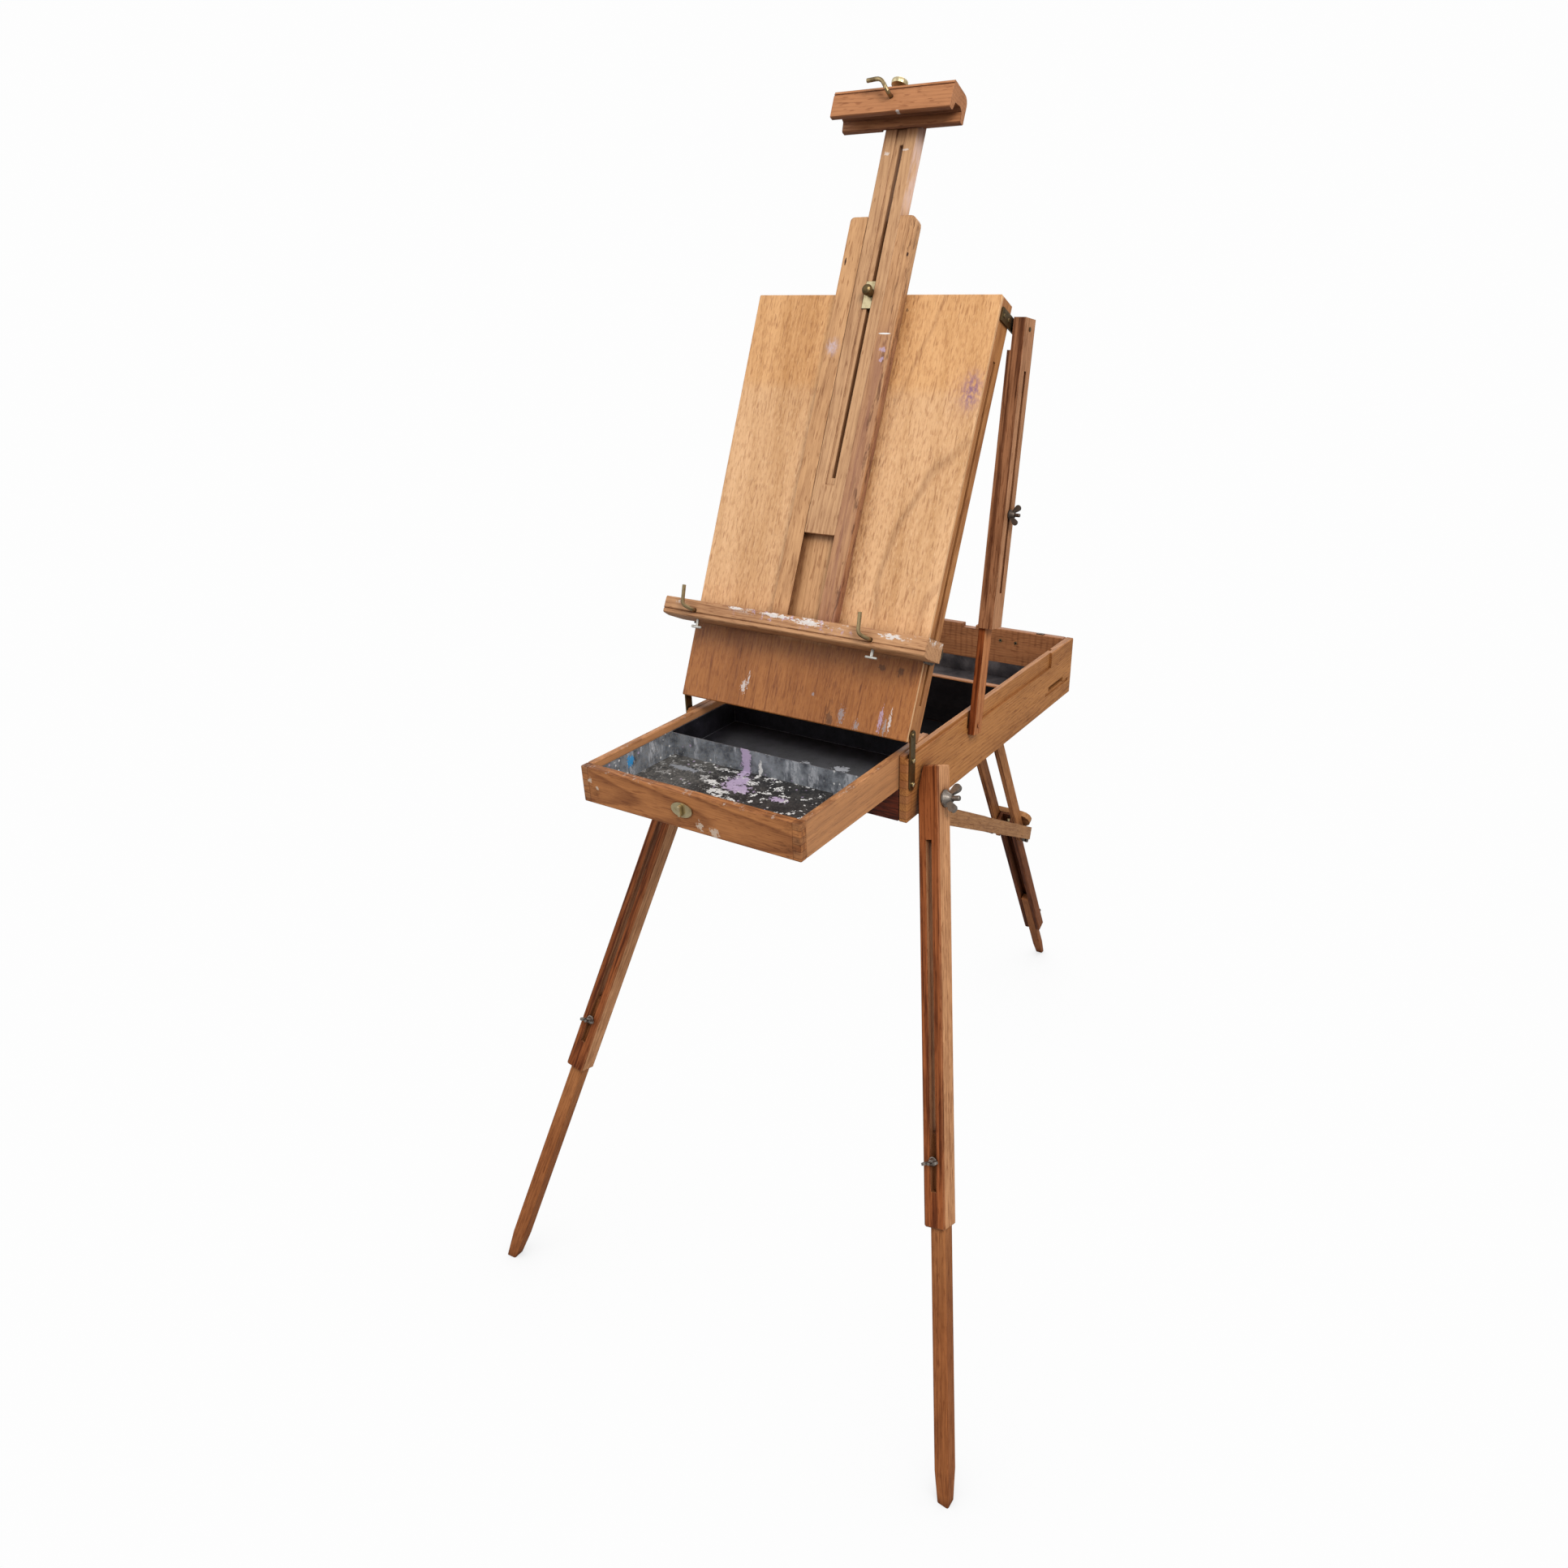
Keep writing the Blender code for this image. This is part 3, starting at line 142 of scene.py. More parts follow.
class Graph:
    """A material's node tree, built by plain calls that return sockets."""

    def __init__(self, name):
        self.material = bpy.data.materials.new(name)
        self.material.use_nodes = True
        self.tree = self.material.node_tree
        self.shader = self.tree.nodes["Principled BSDF"]
        self.colour = (0.5, 0.5, 0.5, 1.0)
        self.roughness = 0.5
        self.height = 0.0
        self.relief = 0.0003
        coordinates = self.tree.nodes.new("ShaderNodeTexCoord")
        self.place = coordinates.outputs["Object"]
        self.geometry = self.tree.nodes.new("ShaderNodeNewGeometry")

    def feed(self, socket, value):
        """Links a socket, or sets it to a plain value."""
        if isinstance(value, bpy.types.NodeSocket):
            self.tree.links.new(value, socket)
        else:
            socket.default_value = value

    def math(self, operation, a, b=0.0):
        node = self.tree.nodes.new("ShaderNodeMath")
        node.operation = operation
        for socket, value in zip(node.inputs, (a, b)):
            self.feed(socket, value)
        return node.outputs[0]

    def add(self, a, b):
        return self.math("ADD", a, b)

    def less(self, a, b):
        return self.math("SUBTRACT", a, b)

    def times(self, a, b):
        return self.math("MULTIPLY", a, b)

    def vector(self, operation, a, b=(0, 0, 0)):
        node = self.tree.nodes.new("ShaderNodeVectorMath")
        node.operation = operation
        self.feed(node.inputs[0], a)
        self.feed(node.inputs[1], b)
        return node.outputs["Value" if operation in ("DOT_PRODUCT", "LENGTH") else "Vector"]

    def join(self, x, y, z):
        node = self.tree.nodes.new("ShaderNodeCombineXYZ")
        for socket, value in zip(node.inputs, (x, y, z)):
            self.feed(socket, value)
        return node.outputs[0]

    def noise(self, place, scale=(1, 1, 1), detail=2.0, rough=0.55):
        node = self.tree.nodes.new("ShaderNodeTexNoise")
        self.feed(node.inputs["Vector"], self.vector("MULTIPLY", place, scale))
        node.inputs["Scale"].default_value = 1.0
        node.inputs["Detail"].default_value = detail
        node.inputs["Roughness"].default_value = rough
        return node.outputs[0]

    def cells(self, place, scale):
        node = self.tree.nodes.new("ShaderNodeTexVoronoi")
        self.feed(node.inputs["Vector"], self.vector("MULTIPLY", place, scale))
        node.inputs["Scale"].default_value = 1.0
        return node.outputs["Distance"]

    def step(self, value, low, high, out_low=0.0, out_high=1.0):
        """A smooth step from out_low to out_high as value goes from low to high."""
        node = self.tree.nodes.new("ShaderNodeMapRange")
        node.interpolation_type = "SMOOTHSTEP"
        self.feed(node.inputs["Value"], value)
        node.inputs["From Min"].default_value = low
        node.inputs["From Max"].default_value = high
        node.inputs["To Min"].default_value = out_low
        node.inputs["To Max"].default_value = out_high
        return node.outputs["Result"]

    def mix(self, share, a, b, blend="MIX"):
        node = self.tree.nodes.new("ShaderNodeMix")
        node.data_type = "RGBA"
        node.blend_type = blend
        self.feed(node.inputs["Factor"], share)
        self.feed(node.inputs[6], a)
        self.feed(node.inputs[7], b)
        return node.outputs[2]

    def local(self, grain):
        """Distances across, through and along a board, in metres."""
        offset = self.vector("SUBTRACT", self.place, grain.origin)
        return [self.vector("DOT_PRODUCT", offset, axis)
                for axis in (grain.across, grain.depth, grain.along)]

    def facing(self, direction, low=0.5, high=0.8):
        """1 on faces that look along a direction, as the object stands at rest."""
        node = self.tree.nodes.new("ShaderNodeVectorTransform")
        node.vector_type = "NORMAL"
        node.convert_from = "WORLD"
        node.convert_to = "OBJECT"
        self.feed(node.inputs[0], self.geometry.outputs["True Normal"])
        return self.step(self.vector("DOT_PRODUCT", node.outputs[0], direction), low, high)

    def edge(self, radius=0.0022, low=0.01, high=0.18):
        """1 within a few millimetres of an outer edge."""
        bevel = self.tree.nodes.new("ShaderNodeBevel")
        bevel.samples = 4
        bevel.inputs["Radius"].default_value = radius
        same = self.vector("DOT_PRODUCT", bevel.outputs[0],
                           self.geometry.outputs["Normal"])
        return self.step(self.less(1.0, same), low, high)

    def crevice(self, distance=0.02, low=0.35, high=0.9):
        """1 deep in corners and grooves."""
        hollow = self.tree.nodes.new("ShaderNodeAmbientOcclusion")
        hollow.samples = 6
        hollow.inputs["Distance"].default_value = distance
        return self.step(hollow.outputs["AO"], low, high, 1.0, 0.0)

    def tint(self, mask, colour, roughness=None):
        """Lays a colour over what is there, where the mask is above 0."""
        self.colour = self.mix(mask, self.colour, colour)
        if roughness is not None:
            node = self.tree.nodes.new("ShaderNodeMix")
            self.feed(node.inputs[0], mask)
            self.feed(node.inputs[2], self.roughness)
            node.inputs[3].default_value = roughness
            self.roughness = node.outputs[0]

    def shade(self, mask, colour):
        """Multiplies what is there by a colour, where the mask is above 0."""
        self.colour = self.mix(mask, self.colour, colour, "MULTIPLY")

    def lift(self, value, amount):
        """Adds to the height that the bump is made from."""
        self.height = self.add(self.height, self.times(value, amount))

    def close(self, metallic=0.0, coat=0.0, shine=0.5):
        """Feeds the shader and returns the finished material."""
        self.feed(self.shader.inputs["Base Color"], self.colour)
        self.feed(self.shader.inputs["Roughness"], self.roughness)
        self.shader.inputs["Metallic"].default_value = metallic
        self.shader.inputs["Specular IOR Level"].default_value = shine
        self.shader.inputs["Coat Weight"].default_value = coat
        self.shader.inputs["Coat Roughness"].default_value = COAT_ROUGH
        if isinstance(self.height, bpy.types.NodeSocket):
            bump = self.tree.nodes.new("ShaderNodeBump")
            bump.inputs["Strength"].default_value = BUMP_STRENGTH
            bump.inputs["Distance"].default_value = self.relief
            self.feed(bump.inputs["Height"], self.height)
            self.feed(self.shader.inputs["Normal"], bump.outputs[0])
        return self.material


# ----------------------------------------------------------------------- wood
def wood(name, grain, light, dark, seed, ring=0.007, centre=(0.05, 0.04), taper=0.03,
         lines=0.3, fibre=0.45, fleck=0.5, tone=0.5, mottle=0.35, worn=0.35, crevice_shade=0.6):
    """Beech: growth rings cut by the board's faces, fibres, flecks and wear, and painted shade in
    corners and grooves.
    """
    g = Graph(name)
    x, y, z = g.local(grain)
    spot = g.join(g.add(x, seed), g.add(y, seed * 0.37), g.add(z, seed * 1.9))
    warp = g.less(g.noise(spot, (9, 9, 2.2), 2.0), 0.5)
    side = g.add(g.less(x, centre[0]), g.times(warp, 0.035))
    radius = g.math("SQRT", g.add(g.times(side, side), g.math("POWER", g.less(y, centre[1]), 2.0)))
    radius = g.add(radius, g.add(g.times(z, taper), g.times(warp, 0.012)))
    saw = g.math("FRACT", g.math("DIVIDE", radius, ring))
    ridge = g.math("MINIMUM", g.math("POWER", saw, 2.2), g.times(g.less(1.0, saw), 5.0))
    threads = g.noise(spot, (780, 780, 22), 2.0, 0.6)
    broad = g.noise(spot, (16, 16, 3.2), 2.0)
    cloudy = g.noise(spot, (95, 95, 30), 3.0, 0.65)
    amount = g.add(g.times(ridge, lines), g.times(g.less(threads, 0.5), fibre * 2))
    amount = g.add(amount, g.times(g.less(broad, 0.5), tone * 2))
    amount = g.add(amount, g.times(g.less(cloudy, 0.5), mottle * 2))
    g.colour = g.mix(g.step(amount, -0.45, 0.85), light, dark)
    dashes = g.step(g.noise(spot, (430, 430, 60), 1.0), 0.60, 0.70)
    g.shade(g.times(dashes, fleck), FLECK_SHADE)
    g.lift(threads, -0.5)
    g.lift(dashes, -0.6)
    g.roughness = g.step(threads, 0.2, 0.8, 0.46, 0.62)
    patches = g.step(g.noise(spot, (60, 60, 25), 3.0, 0.7), 0.45, 0.66)
    edge = g.edge()
    g.shade(g.times(edge, worn * 0.7), EDGE_SHADE)
    pale = tuple(min(1.0, c * 1.25 + 0.03) for c in light[:3]) + (1.0,)
    g.tint(g.times(g.times(edge, patches), worn), pale, PAINT_ROUGH)
    nicks = g.step(g.noise(spot, (140, 140, 90), 3.0, 0.7), 0.60, 0.72)
    g.shade(g.times(g.times(edge, nicks), worn * 1.4), NICK_SHADE)
    # painted shade: corners and grooves darkened by ambient occlusion
    g.shade(g.times(g.crevice(), crevice_shade), DIRT_AND_CREVICE_SHADE)
    g.spot = spot
    return g


def spread(g, axes, centre, size):
    """How far a point is from the middle of an ellipse, as a share of its size."""
    parts = [g.math("DIVIDE", g.less(value, middle), half)
             for value, middle, half in zip(axes, centre, size)]
    return g.vector("LENGTH", g.join(*parts))


def shifted(g, axes, seed):
    """The point to read noise at, moved so that two patterns differ."""
    return g.join(*[g.add(value, seed) for value in axes])


def blob(g, axes, centre, size, ragged=0.35, seed=0.0, grit=(160, 160, 160)):
    """A ragged patch: 1 inside an ellipse whose outline is broken by noise."""
    rough = g.noise(shifted(g, axes, seed), grit, 3.0, 0.65)
    distance = g.add(spread(g, axes, centre, size), g.times(g.less(rough, 0.5), ragged * 6))
    return g.step(distance, 0.75, 1.05, 1.0, 0.0)


def marks(g, axes, rows, strength, ragged, grit, roughness=PAINT_ROUGH, raised=0.0):
    """Ragged paint marks. A row is a centre, half sizes and a colour."""
    for centre, size, colour in rows:
        mark = blob(g, axes, centre, size, ragged, centre[0], grit)
        g.tint(g.times(mark, strength), colour, roughness)
        if raised:
            g.lift(mark, raised)


def haze(g, axes, centre, size, seed=0.0):
    """A smudge that fades out, and is uneven inside."""
    rough = g.noise(shifted(g, axes, seed), (260, 260, 150), 4.0, 0.7)
    return g.times(g.step(spread(g, axes, centre, size), 0.1, 1.2, 1.0, 0.0),
                   g.step(rough, 0.36, 0.62))


def drips(g, axes, scale, low, high, seed=0.0):
    """Streaks and spatter from stretched noise above a threshold."""
    rough = g.noise(shifted(g, axes, seed), scale, 3.0, 0.6)
    return g.step(rough, low, high)


WHITE_PAINT = rgb(226, 224, 222)
LILAC_PAINT = rgb(190, 170, 200)
BLUE_PAINT = rgb(40, 150, 215)
GREY_PAINT = rgb(150, 152, 158)
DARK_STAIN = rgb(62, 36, 22)

# Rows for marks(). Centres and half sizes are across the easel, back from the
# panel's face, and up the panel.
PANEL_PAINT = (((-0.075, 0, 0.026), (0.0035, 0.05, 0.007), WHITE_PAINT),
               ((-0.070, 0, 0.038), (0.0015, 0.05, 0.008), WHITE_PAINT),
               ((0.076, 0, 0.016), (0.004, 0.05, 0.009), GREY_PAINT),
               ((0.099, 0, 0.008), (0.003, 0.05, 0.006), GREY_PAINT),
               ((0.131, 0, 0.020), (0.0025, 0.05, 0.014), LILAC_PAINT),
               ((0.138, 0, 0.012), (0.002, 0.05, 0.010), GREY_PAINT),
               ((0.144, 0, 0.022), (0.0018, 0.05, 0.012), WHITE_PAINT),
               ((0.030, 0, 0.034), (0.002, 0.05, 0.002), GREY_PAINT))
PANEL_STAINS = (((0.118, 0, 0.082), (0.006, 0.05, 0.004), DARK_STAIN),
                ((0.145, 0, 0.080), (0.004, 0.05, 0.006), DARK_STAIN),
                ((0.060, 0, 0.008), (0.005, 0.05, 0.009), DARK_STAIN),
                ((0.051, 0, 0.507), (0.0018, 0.05, 0.0026), DARK_STAIN))
INNER_MAST_PAINT = (((-0.014, -0.013, 0.687), (0.004, 0.02, 0.0022), WHITE_PAINT),
                    ((0.012, -0.013, 0.690), (0.005, 0.02, 0.0014), WHITE_PAINT))
LEDGE_PAINT = (((0.030, -0.045, 0.1165), (0.022, 0.02, 0.0032), WHITE_PAINT),
               ((0.146, -0.045, 0.1165), (0.016, 0.02, 0.0028), WHITE_PAINT),
               ((-0.020, -0.045, 0.1190), (0.020, 0.02, 0.0024), WHITE_PAINT),
               ((-0.078, -0.045, 0.1200), (0.010, 0.02, 0.0016), WHITE_PAINT))
DRAWER_SMEAR = rgb(206, 190, 172)
# For the drawer the order is across, back from its front face, and up.
DRAWER_PAINT = (((0.041, 0.0, 0.006), (0.006, 0.02, 0.007), DRAWER_SMEAR),
                ((0.020, 0.0, 0.010), (0.004, 0.02, 0.006), DRAWER_SMEAR),
                ((-0.146, 0.0, 0.030), (0.003, 0.02, 0.004), DRAWER_SMEAR),
                ((-0.135, 0.0, 0.022), (0.002, 0.02, 0.002), DRAWER_SMEAR))
TRAY_PAINT = (((-0.030, 0.159, 0.018), (0.007, 0.02, 0.05), LILAC_PAINT),
              ((-0.008, 0.159, 0.012), (0.003, 0.02, 0.010), WHITE_PAINT),
              ((-0.022, 0.130, 0.0), (0.014, 0.018, 0.02), LILAC_PAINT),
              ((-0.012, 0.112, 0.0), (0.022, 0.011, 0.02), LILAC_PAINT),
              ((-0.026, 0.094, 0.0), (0.016, 0.006, 0.02), WHITE_PAINT),
              ((-0.050, 0.112, 0.0), (0.012, 0.006, 0.02), WHITE_PAINT),
              ((-0.006, 0.074, 0.0), (0.018, 0.007, 0.02), WHITE_PAINT),
              ((0.062, 0.060, 0.0), (0.010, 0.006, 0.02), WHITE_PAINT),
              ((0.110, 0.034, 0.0), (0.012, 0.012, 0.02), WHITE_PAINT),
              ((-0.108, 0.128, 0.0), (0.022, 0.006, 0.02), GREY_PAINT),
              ((0.052, 0.110, 0.0), (0.012, 0.006, 0.02), LILAC_PAINT),
              ((-0.149, 0.075, 0.026), (0.02, 0.006, 0.007), BLUE_PAINT),
              ((0.070, 0.225, 0.0), (0.012, 0.008, 0.02), GREY_PAINT),
              ((0.020, 0.216, 0.0), (0.008, 0.010, 0.02), GREY_PAINT))


def figure_line(g, x, z, middle, squash, size, sway, thick):
    """A dark line of figure: part of a wavering ellipse drawn on the panel."""
    bow = g.vector("LENGTH", g.join(g.less(x, middle[0]), 0.0,
                                    g.times(g.less(z, middle[1]), squash)))
    off = g.math("ABSOLUTE", g.less(g.add(bow, g.times(sway, 0.03)), size))
    return g.step(off, 0.0, thick, 1.0, 0.0)


def panel_veneer():
    """The panel's face: rippled, figured veneer under yellowed varnish, with a painted shadow below the
    ledge.
    """
    g = wood("panel_veneer", ON_PANEL, rgb(222, 176, 130), rgb(182, 132, 82), 0.31,
             ring=0.045, centre=(-0.30, 0.02), taper=0.16, lines=0.25, fibre=0.4,
             fleck=0.5, tone=0.65, mottle=0.3, worn=0.6, crevice_shade=0.45)
    x, y, z = g.local(ON_PANEL)
    axes = (x, y, z)
    plain = g.colour
    ripple = g.noise(g.spot, (330, 330, 95), 3.0, 0.65)
    g.shade(g.step(ripple, 0.46, 0.66, 0.0, 0.42), rgb(196, 168, 140))
    pores = g.step(g.noise(g.spot, (620, 620, 130), 1.0), 0.38, 0.30)
    g.tint(g.times(pores, 0.35), rgb(228, 192, 150))
    sway = g.noise(g.join(x, 0.0, z), (14, 1, 9), 2.0)
    # dark lines of figure that sweep down the right half
    band = figure_line(g, x, z, (0.245, 0.190), 0.80, 0.168, sway, 0.008)
    reach = g.times(g.step(z, 0.11, 0.16), g.step(z, 0.31, 0.40, 1.0, 0.0))
    g.shade(g.times(g.times(band, reach), 0.40), rgb(158, 136, 112))
    band = figure_line(g, x, z, (0.262, 0.130), 1.0, 0.122, sway, 0.008)
    g.shade(g.times(g.times(band, g.step(z, 0.12, 0.15)), 0.30), rgb(170, 142, 120))
    ray = g.math("ABSOLUTE", g.less(g.less(x, g.times(g.less(z, 0.37), 0.28)),
                                    g.add(0.046, g.times(sway, 0.02))))
    ray = g.times(g.step(ray, 0.0, 0.005, 1.0, 0.0), g.step(z, 0.33, 0.42))
    g.shade(g.times(ray, 0.32), rgb(166, 140, 118))
    # the top is yellower, and the strip below the ledge is darker: a painted shadow of the ledge, with
    # streaks in it
    g.shade(g.step(z, 0.400, 0.424, 0.0, 0.60), rgb(252, 238, 208))
    low = g.step(g.add(z, g.times(g.less(sway, 0.5), 0.02)), 0.094, 0.106, 1.0, 0.0)
    g.shade(low, rgb(192, 156, 112))
    streak = drips(g, axes, (260, 260, 16), 0.50, 0.72, 0.5)
    g.shade(g.times(g.times(low, streak), 0.55), rgb(160, 118, 90))
    beside = g.times(g.step(x, 0.046, 0.050), g.step(x, 0.052, 0.075, 1.0, 0.0))
    dark = g.step(g.noise(g.spot, (260, 260, 45), 3.0, 0.7), 0.52, 0.62)
    g.shade(g.times(g.times(beside, dark), 0.5), rgb(150, 118, 100))
    g.tint(g.times(haze(g, axes, (0.158, 0.0, 0.415), (0.016, 0.05, 0.028), 0.2), 0.95),
           rgb(128, 92, 122))
    g.tint(g.times(haze(g, axes, (0.152, 0.0, 0.412), (0.032, 0.05, 0.036), 0.7), 0.25),
           rgb(150, 104, 108))
    marks(g, axes, PANEL_PAINT, 0.58, 0.8, (620, 620, 260))
    marks(g, axes, PANEL_STAINS, 0.6, 0.4, (300, 300, 160), roughness=None)
    # only the front face is varnished and marked
    g.colour = g.mix(g.step(y, 0.0010, 0.0016), g.colour, plain)
    g.lift(ripple, 1.3)
    return g.close(coat=0.05, shine=0.35)


def frame_wood():
    """The stiles and rails behind the panel's face."""
    g = wood("panel_frame_wood", ON_PANEL, rgb(188, 132, 80), rgb(136, 82, 44), 1.7,
             ring=0.005, lines=0.45, worn=0.4)
    return g.close(shine=WOOD_SHINE)


def mast_wood(name, seed, light, dark):
    """A mast's board, before its own marks."""
    return wood(name, ON_PANEL, light, dark, seed, ring=0.0062, centre=(-0.034, -0.03),
                taper=0.045, lines=0.4, fibre=0.5, fleck=0.6, mottle=0.4, worn=0.6, crevice_shade=0.8)


def outer_mast_wood():
    """The slotted mast: its right rail is mauve brown, with spalted flecks."""
    g = mast_wood("outer_mast_wood", 0.8, rgb(206, 158, 112), rgb(144, 98, 62))
    x, y, z = g.local(ON_PANEL)
    axes = (x, y, z)
    right = g.times(g.step(x, 0.018, 0.026), g.step(z, 0.52, 0.42, 0.15, 1.0))
    veins = g.noise(g.spot, (150, 150, 8), 3.0, 0.6)
    g.tint(g.times(right, g.step(veins, 0.35, 0.7, 0.25, 0.75)), rgb(138, 92, 74))
    spalt = g.step(g.noise(g.spot, (210, 210, 34), 3.0, 0.7), 0.55, 0.62)
    g.shade(g.times(g.times(g.step(x, 0.030, 0.040), spalt), 0.55), rgb(104, 70, 56))
    g.tint(blob(g, axes, (0.034, -0.013, 0.474), (0.009, 0.02, 0.0010), 0.05), WHITE_PAINT, PAINT_ROUGH)
    for centre, size in (((0.036, -0.013, 0.455), (0.004, 0.02, 0.003)),
                         ((0.037, -0.013, 0.444), (0.003, 0.02, 0.004))):
        mark = blob(g, axes, centre, size, 0.5, centre[2], (400, 400, 200))
        g.tint(g.times(mark, 0.55), LILAC_PAINT, PAINT_ROUGH)
    smudge = haze(g, axes, (-0.036, -0.013, 0.457), (0.011, 0.02, 0.013), 0.3)
    g.tint(g.times(smudge, 0.75), rgb(196, 180, 190), 0.6)
    for centre, size in (((0.043, -0.013, 0.567), (0.0016, 0.02, 0.0028)),
                         ((-0.042, -0.013, 0.560), (0.0012, 0.02, 0.0050))):
        g.tint(blob(g, axes, centre, size, 0.2), rgb(60, 35, 22))
    return g.close(shine=WOOD_SHINE)


def inner_mast_wood():
    """The sliding tongue: its side faces carry a thin whitish wash of paint, and its top is darkened by
    a painted shadow of the clamp's jaw.
    """
    g = mast_wood("inner_mast_wood", 2.6, rgb(202, 158, 116), rgb(142, 98, 66))
    x, y, z = g.local(ON_PANEL)
    axes = (x, y, z)
    edge = g.step(g.math("ABSOLUTE", x), 0.0205, 0.0235)
    worn = g.step(g.noise(g.spot, (200, 200, 24), 3.0, 0.7), 0.30, 0.55)
    high = g.step(z, 0.60, 0.64)
    g.tint(g.times(g.times(g.times(edge, high), worn), 0.62), rgb(212, 184, 176), 0.6)
    marks(g, axes, INNER_MAST_PAINT, 0.5, 0.5, (400, 400, 200))
    # painted shadow: the top of the tongue darkens just under the clamp's jaw
    g.shade(g.step(z, 0.698, 0.715, 0.0, 0.6), rgb(150, 104, 76))
    return g.close(shine=WOOD_SHINE)


def cross_wood(name, seed, light, dark):
    """A bar with its grain across the easel."""
    return wood(name, PANEL_ACROSS, light, dark, seed, ring=0.0055, centre=(0.02, -0.09),
                taper=0.02, lines=0.4, fleck=0.6, worn=0.9, crevice_shade=0.9)


def ledge_wood():
    """The canvas ledge: thin runs of white and lilac paint along its top."""
    g = cross_wood("ledge_wood", 6.3, rgb(196, 148, 106), rgb(132, 86, 54))
    z, y, x = g.local(PANEL_ACROSS)
    axes = (x, y, z)
    top = g.step(z, 0.112, 0.120)
    run = drips(g, axes, (52, 200, 150), 0.53, 0.60, 0.9)
    broken = g.step(g.noise(g.spot, (420, 420, 420), 3.0, 0.7), 0.40, 0.58)
    middle = g.times(g.step(x, -0.11, -0.02), g.step(x, 0.06, 0.125, 1.0, 0.0))
    ends = g.add(g.step(x, 0.140, 0.165), g.step(x, -0.155, -0.175))
    wash = g.times(g.times(top, run), g.times(broken, g.add(middle, ends)))
    g.tint(g.times(wash, 0.85), WHITE_PAINT, PAINT_ROUGH)
    run = drips(g, axes, (90, 90, 70), 0.55, 0.61, 0.1)
    high = g.times(g.step(z, 0.104, 0.116), broken)
    g.tint(g.times(g.times(high, run), g.times(middle, 0.75)), LILAC_PAINT, PAINT_ROUGH)
    marks(g, axes, LEDGE_PAINT, 0.72, 0.7, (160, 200, 420))
    return g.close(shine=WOOD_SHINE)


def clamp_wood():
    """The top clamp: a white chip of paint on the lower edge of its jaw, and painted shade on the faces
    that look down.
    """
    g = cross_wood("clamp_wood", 1.1, rgb(182, 124, 82), rgb(132, 82, 50))
    z, y, x = g.local(PANEL_ACROSS)
    g.tint(blob(g, (x, y, z), (0.010, -0.046, 0.7158), (0.003, 0.02, 0.0010), 0.2), WHITE_PAINT)
    # painted shade: the faces that look down are darkened
    under = g.facing(-PANEL_UP, 0.4, 0.7)
    g.shade(g.times(under, 0.55), rgb(120, 80, 58))
    return g.close(shine=WOOD_SHINE)


def joint_fingers(g, along, height, reach, pitch, colour):
    """The square ends of a corner joint: bands of end grain near a corner."""
    band = g.step(g.math("PINGPONG", height, pitch), pitch * 0.46, pitch * 0.54)
    near = g.step(along, reach - 0.0006, reach + 0.0006, 1.0, 0.0)
    fingers = g.times(band, near)
    g.tint(g.times(fingers, 0.5), colour, 0.6)
    line = g.math("ABSOLUTE", g.less(g.math("PINGPONG", height, pitch), pitch * 0.5))
    line = g.times(g.step(line, 0.0003, 0.0007, 1.0, 0.0), near)
    stop = g.step(g.math("ABSOLUTE", g.less(along, reach)), 0.0003, 0.0007, 1.0, 0.0)
    g.shade(g.times(g.math("MAXIMUM", line, stop), 0.55), DIRT_AND_CREVICE_SHADE)


def box_side():
    """A side board: finger joints at the front, black lining in the front bay."""
    g = wood("box_side_wood", BOX_ALONG, rgb(188, 128, 72), rgb(128, 76, 34), 3.1,
             ring=0.0032, centre=(-0.02, 0.10), taper=0.006, lines=0.45, fibre=0.4,
             worn=0.6)
    z, x, y = g.local(BOX_ALONG)
    joint_fingers(g, y, z, 0.0115, 0.0105, rgb(150, 95, 60))
    inside = g.times(g.step(y, 0.30, 0.31, 1.0, 0.0), g.step(z, 0.075, 0.078, 1.0, 0.0))
    inner = g.step(g.math("ABSOLUTE", x), 0.1595, 0.1600, 1.0, 0.0)
    g.tint(g.times(inside, inner), rgb(20, 17, 17), 0.55)
    return g.close(shine=WOOD_SHINE)


def back_wall():
    """The back wall, with faint planer marks across its inner face."""
    g = wood("box_back_wood", BOX_ACROSS, rgb(170, 114, 74), rgb(112, 70, 44), 2.2,
             ring=0.0042, centre=(0.20, 0.5), taper=0.01, lines=0.4, worn=0.6)
    x = g.local(BOX_ACROSS)[2]
    wave = g.times(g.noise(g.spot, (40, 40, 4)), 0.004)
    chatter = g.math("SINE", g.times(g.add(x, wave), 620))
    upright = g.times(g.facing(-Y), g.step(g.noise(g.spot, (30, 30, 30)), 0.4, 0.6))
    g.shade(g.times(g.times(g.step(chatter, 0.0, 0.9), upright), 0.30), rgb(140, 108, 84))
    return g.close(shine=WOOD_SHINE)


def front_rail():
    """The dark red-brown rail under the drawer, darker still in long streaks."""
    g = wood("box_front_wood", BOX_ACROSS, rgb(104, 42, 18), rgb(44, 14, 5), 4.4,
             ring=0.004, lines=0.7, worn=0.9, crevice_shade=0.8)
    z, y, x = g.local(BOX_ACROSS)
    streaks = drips(g, (x, y, z), (30, 300, 420), 0.45, 0.62)
    g.shade(g.times(streaks, 0.6), rgb(120, 70, 45))
    return g.close(shine=WOOD_SHINE)


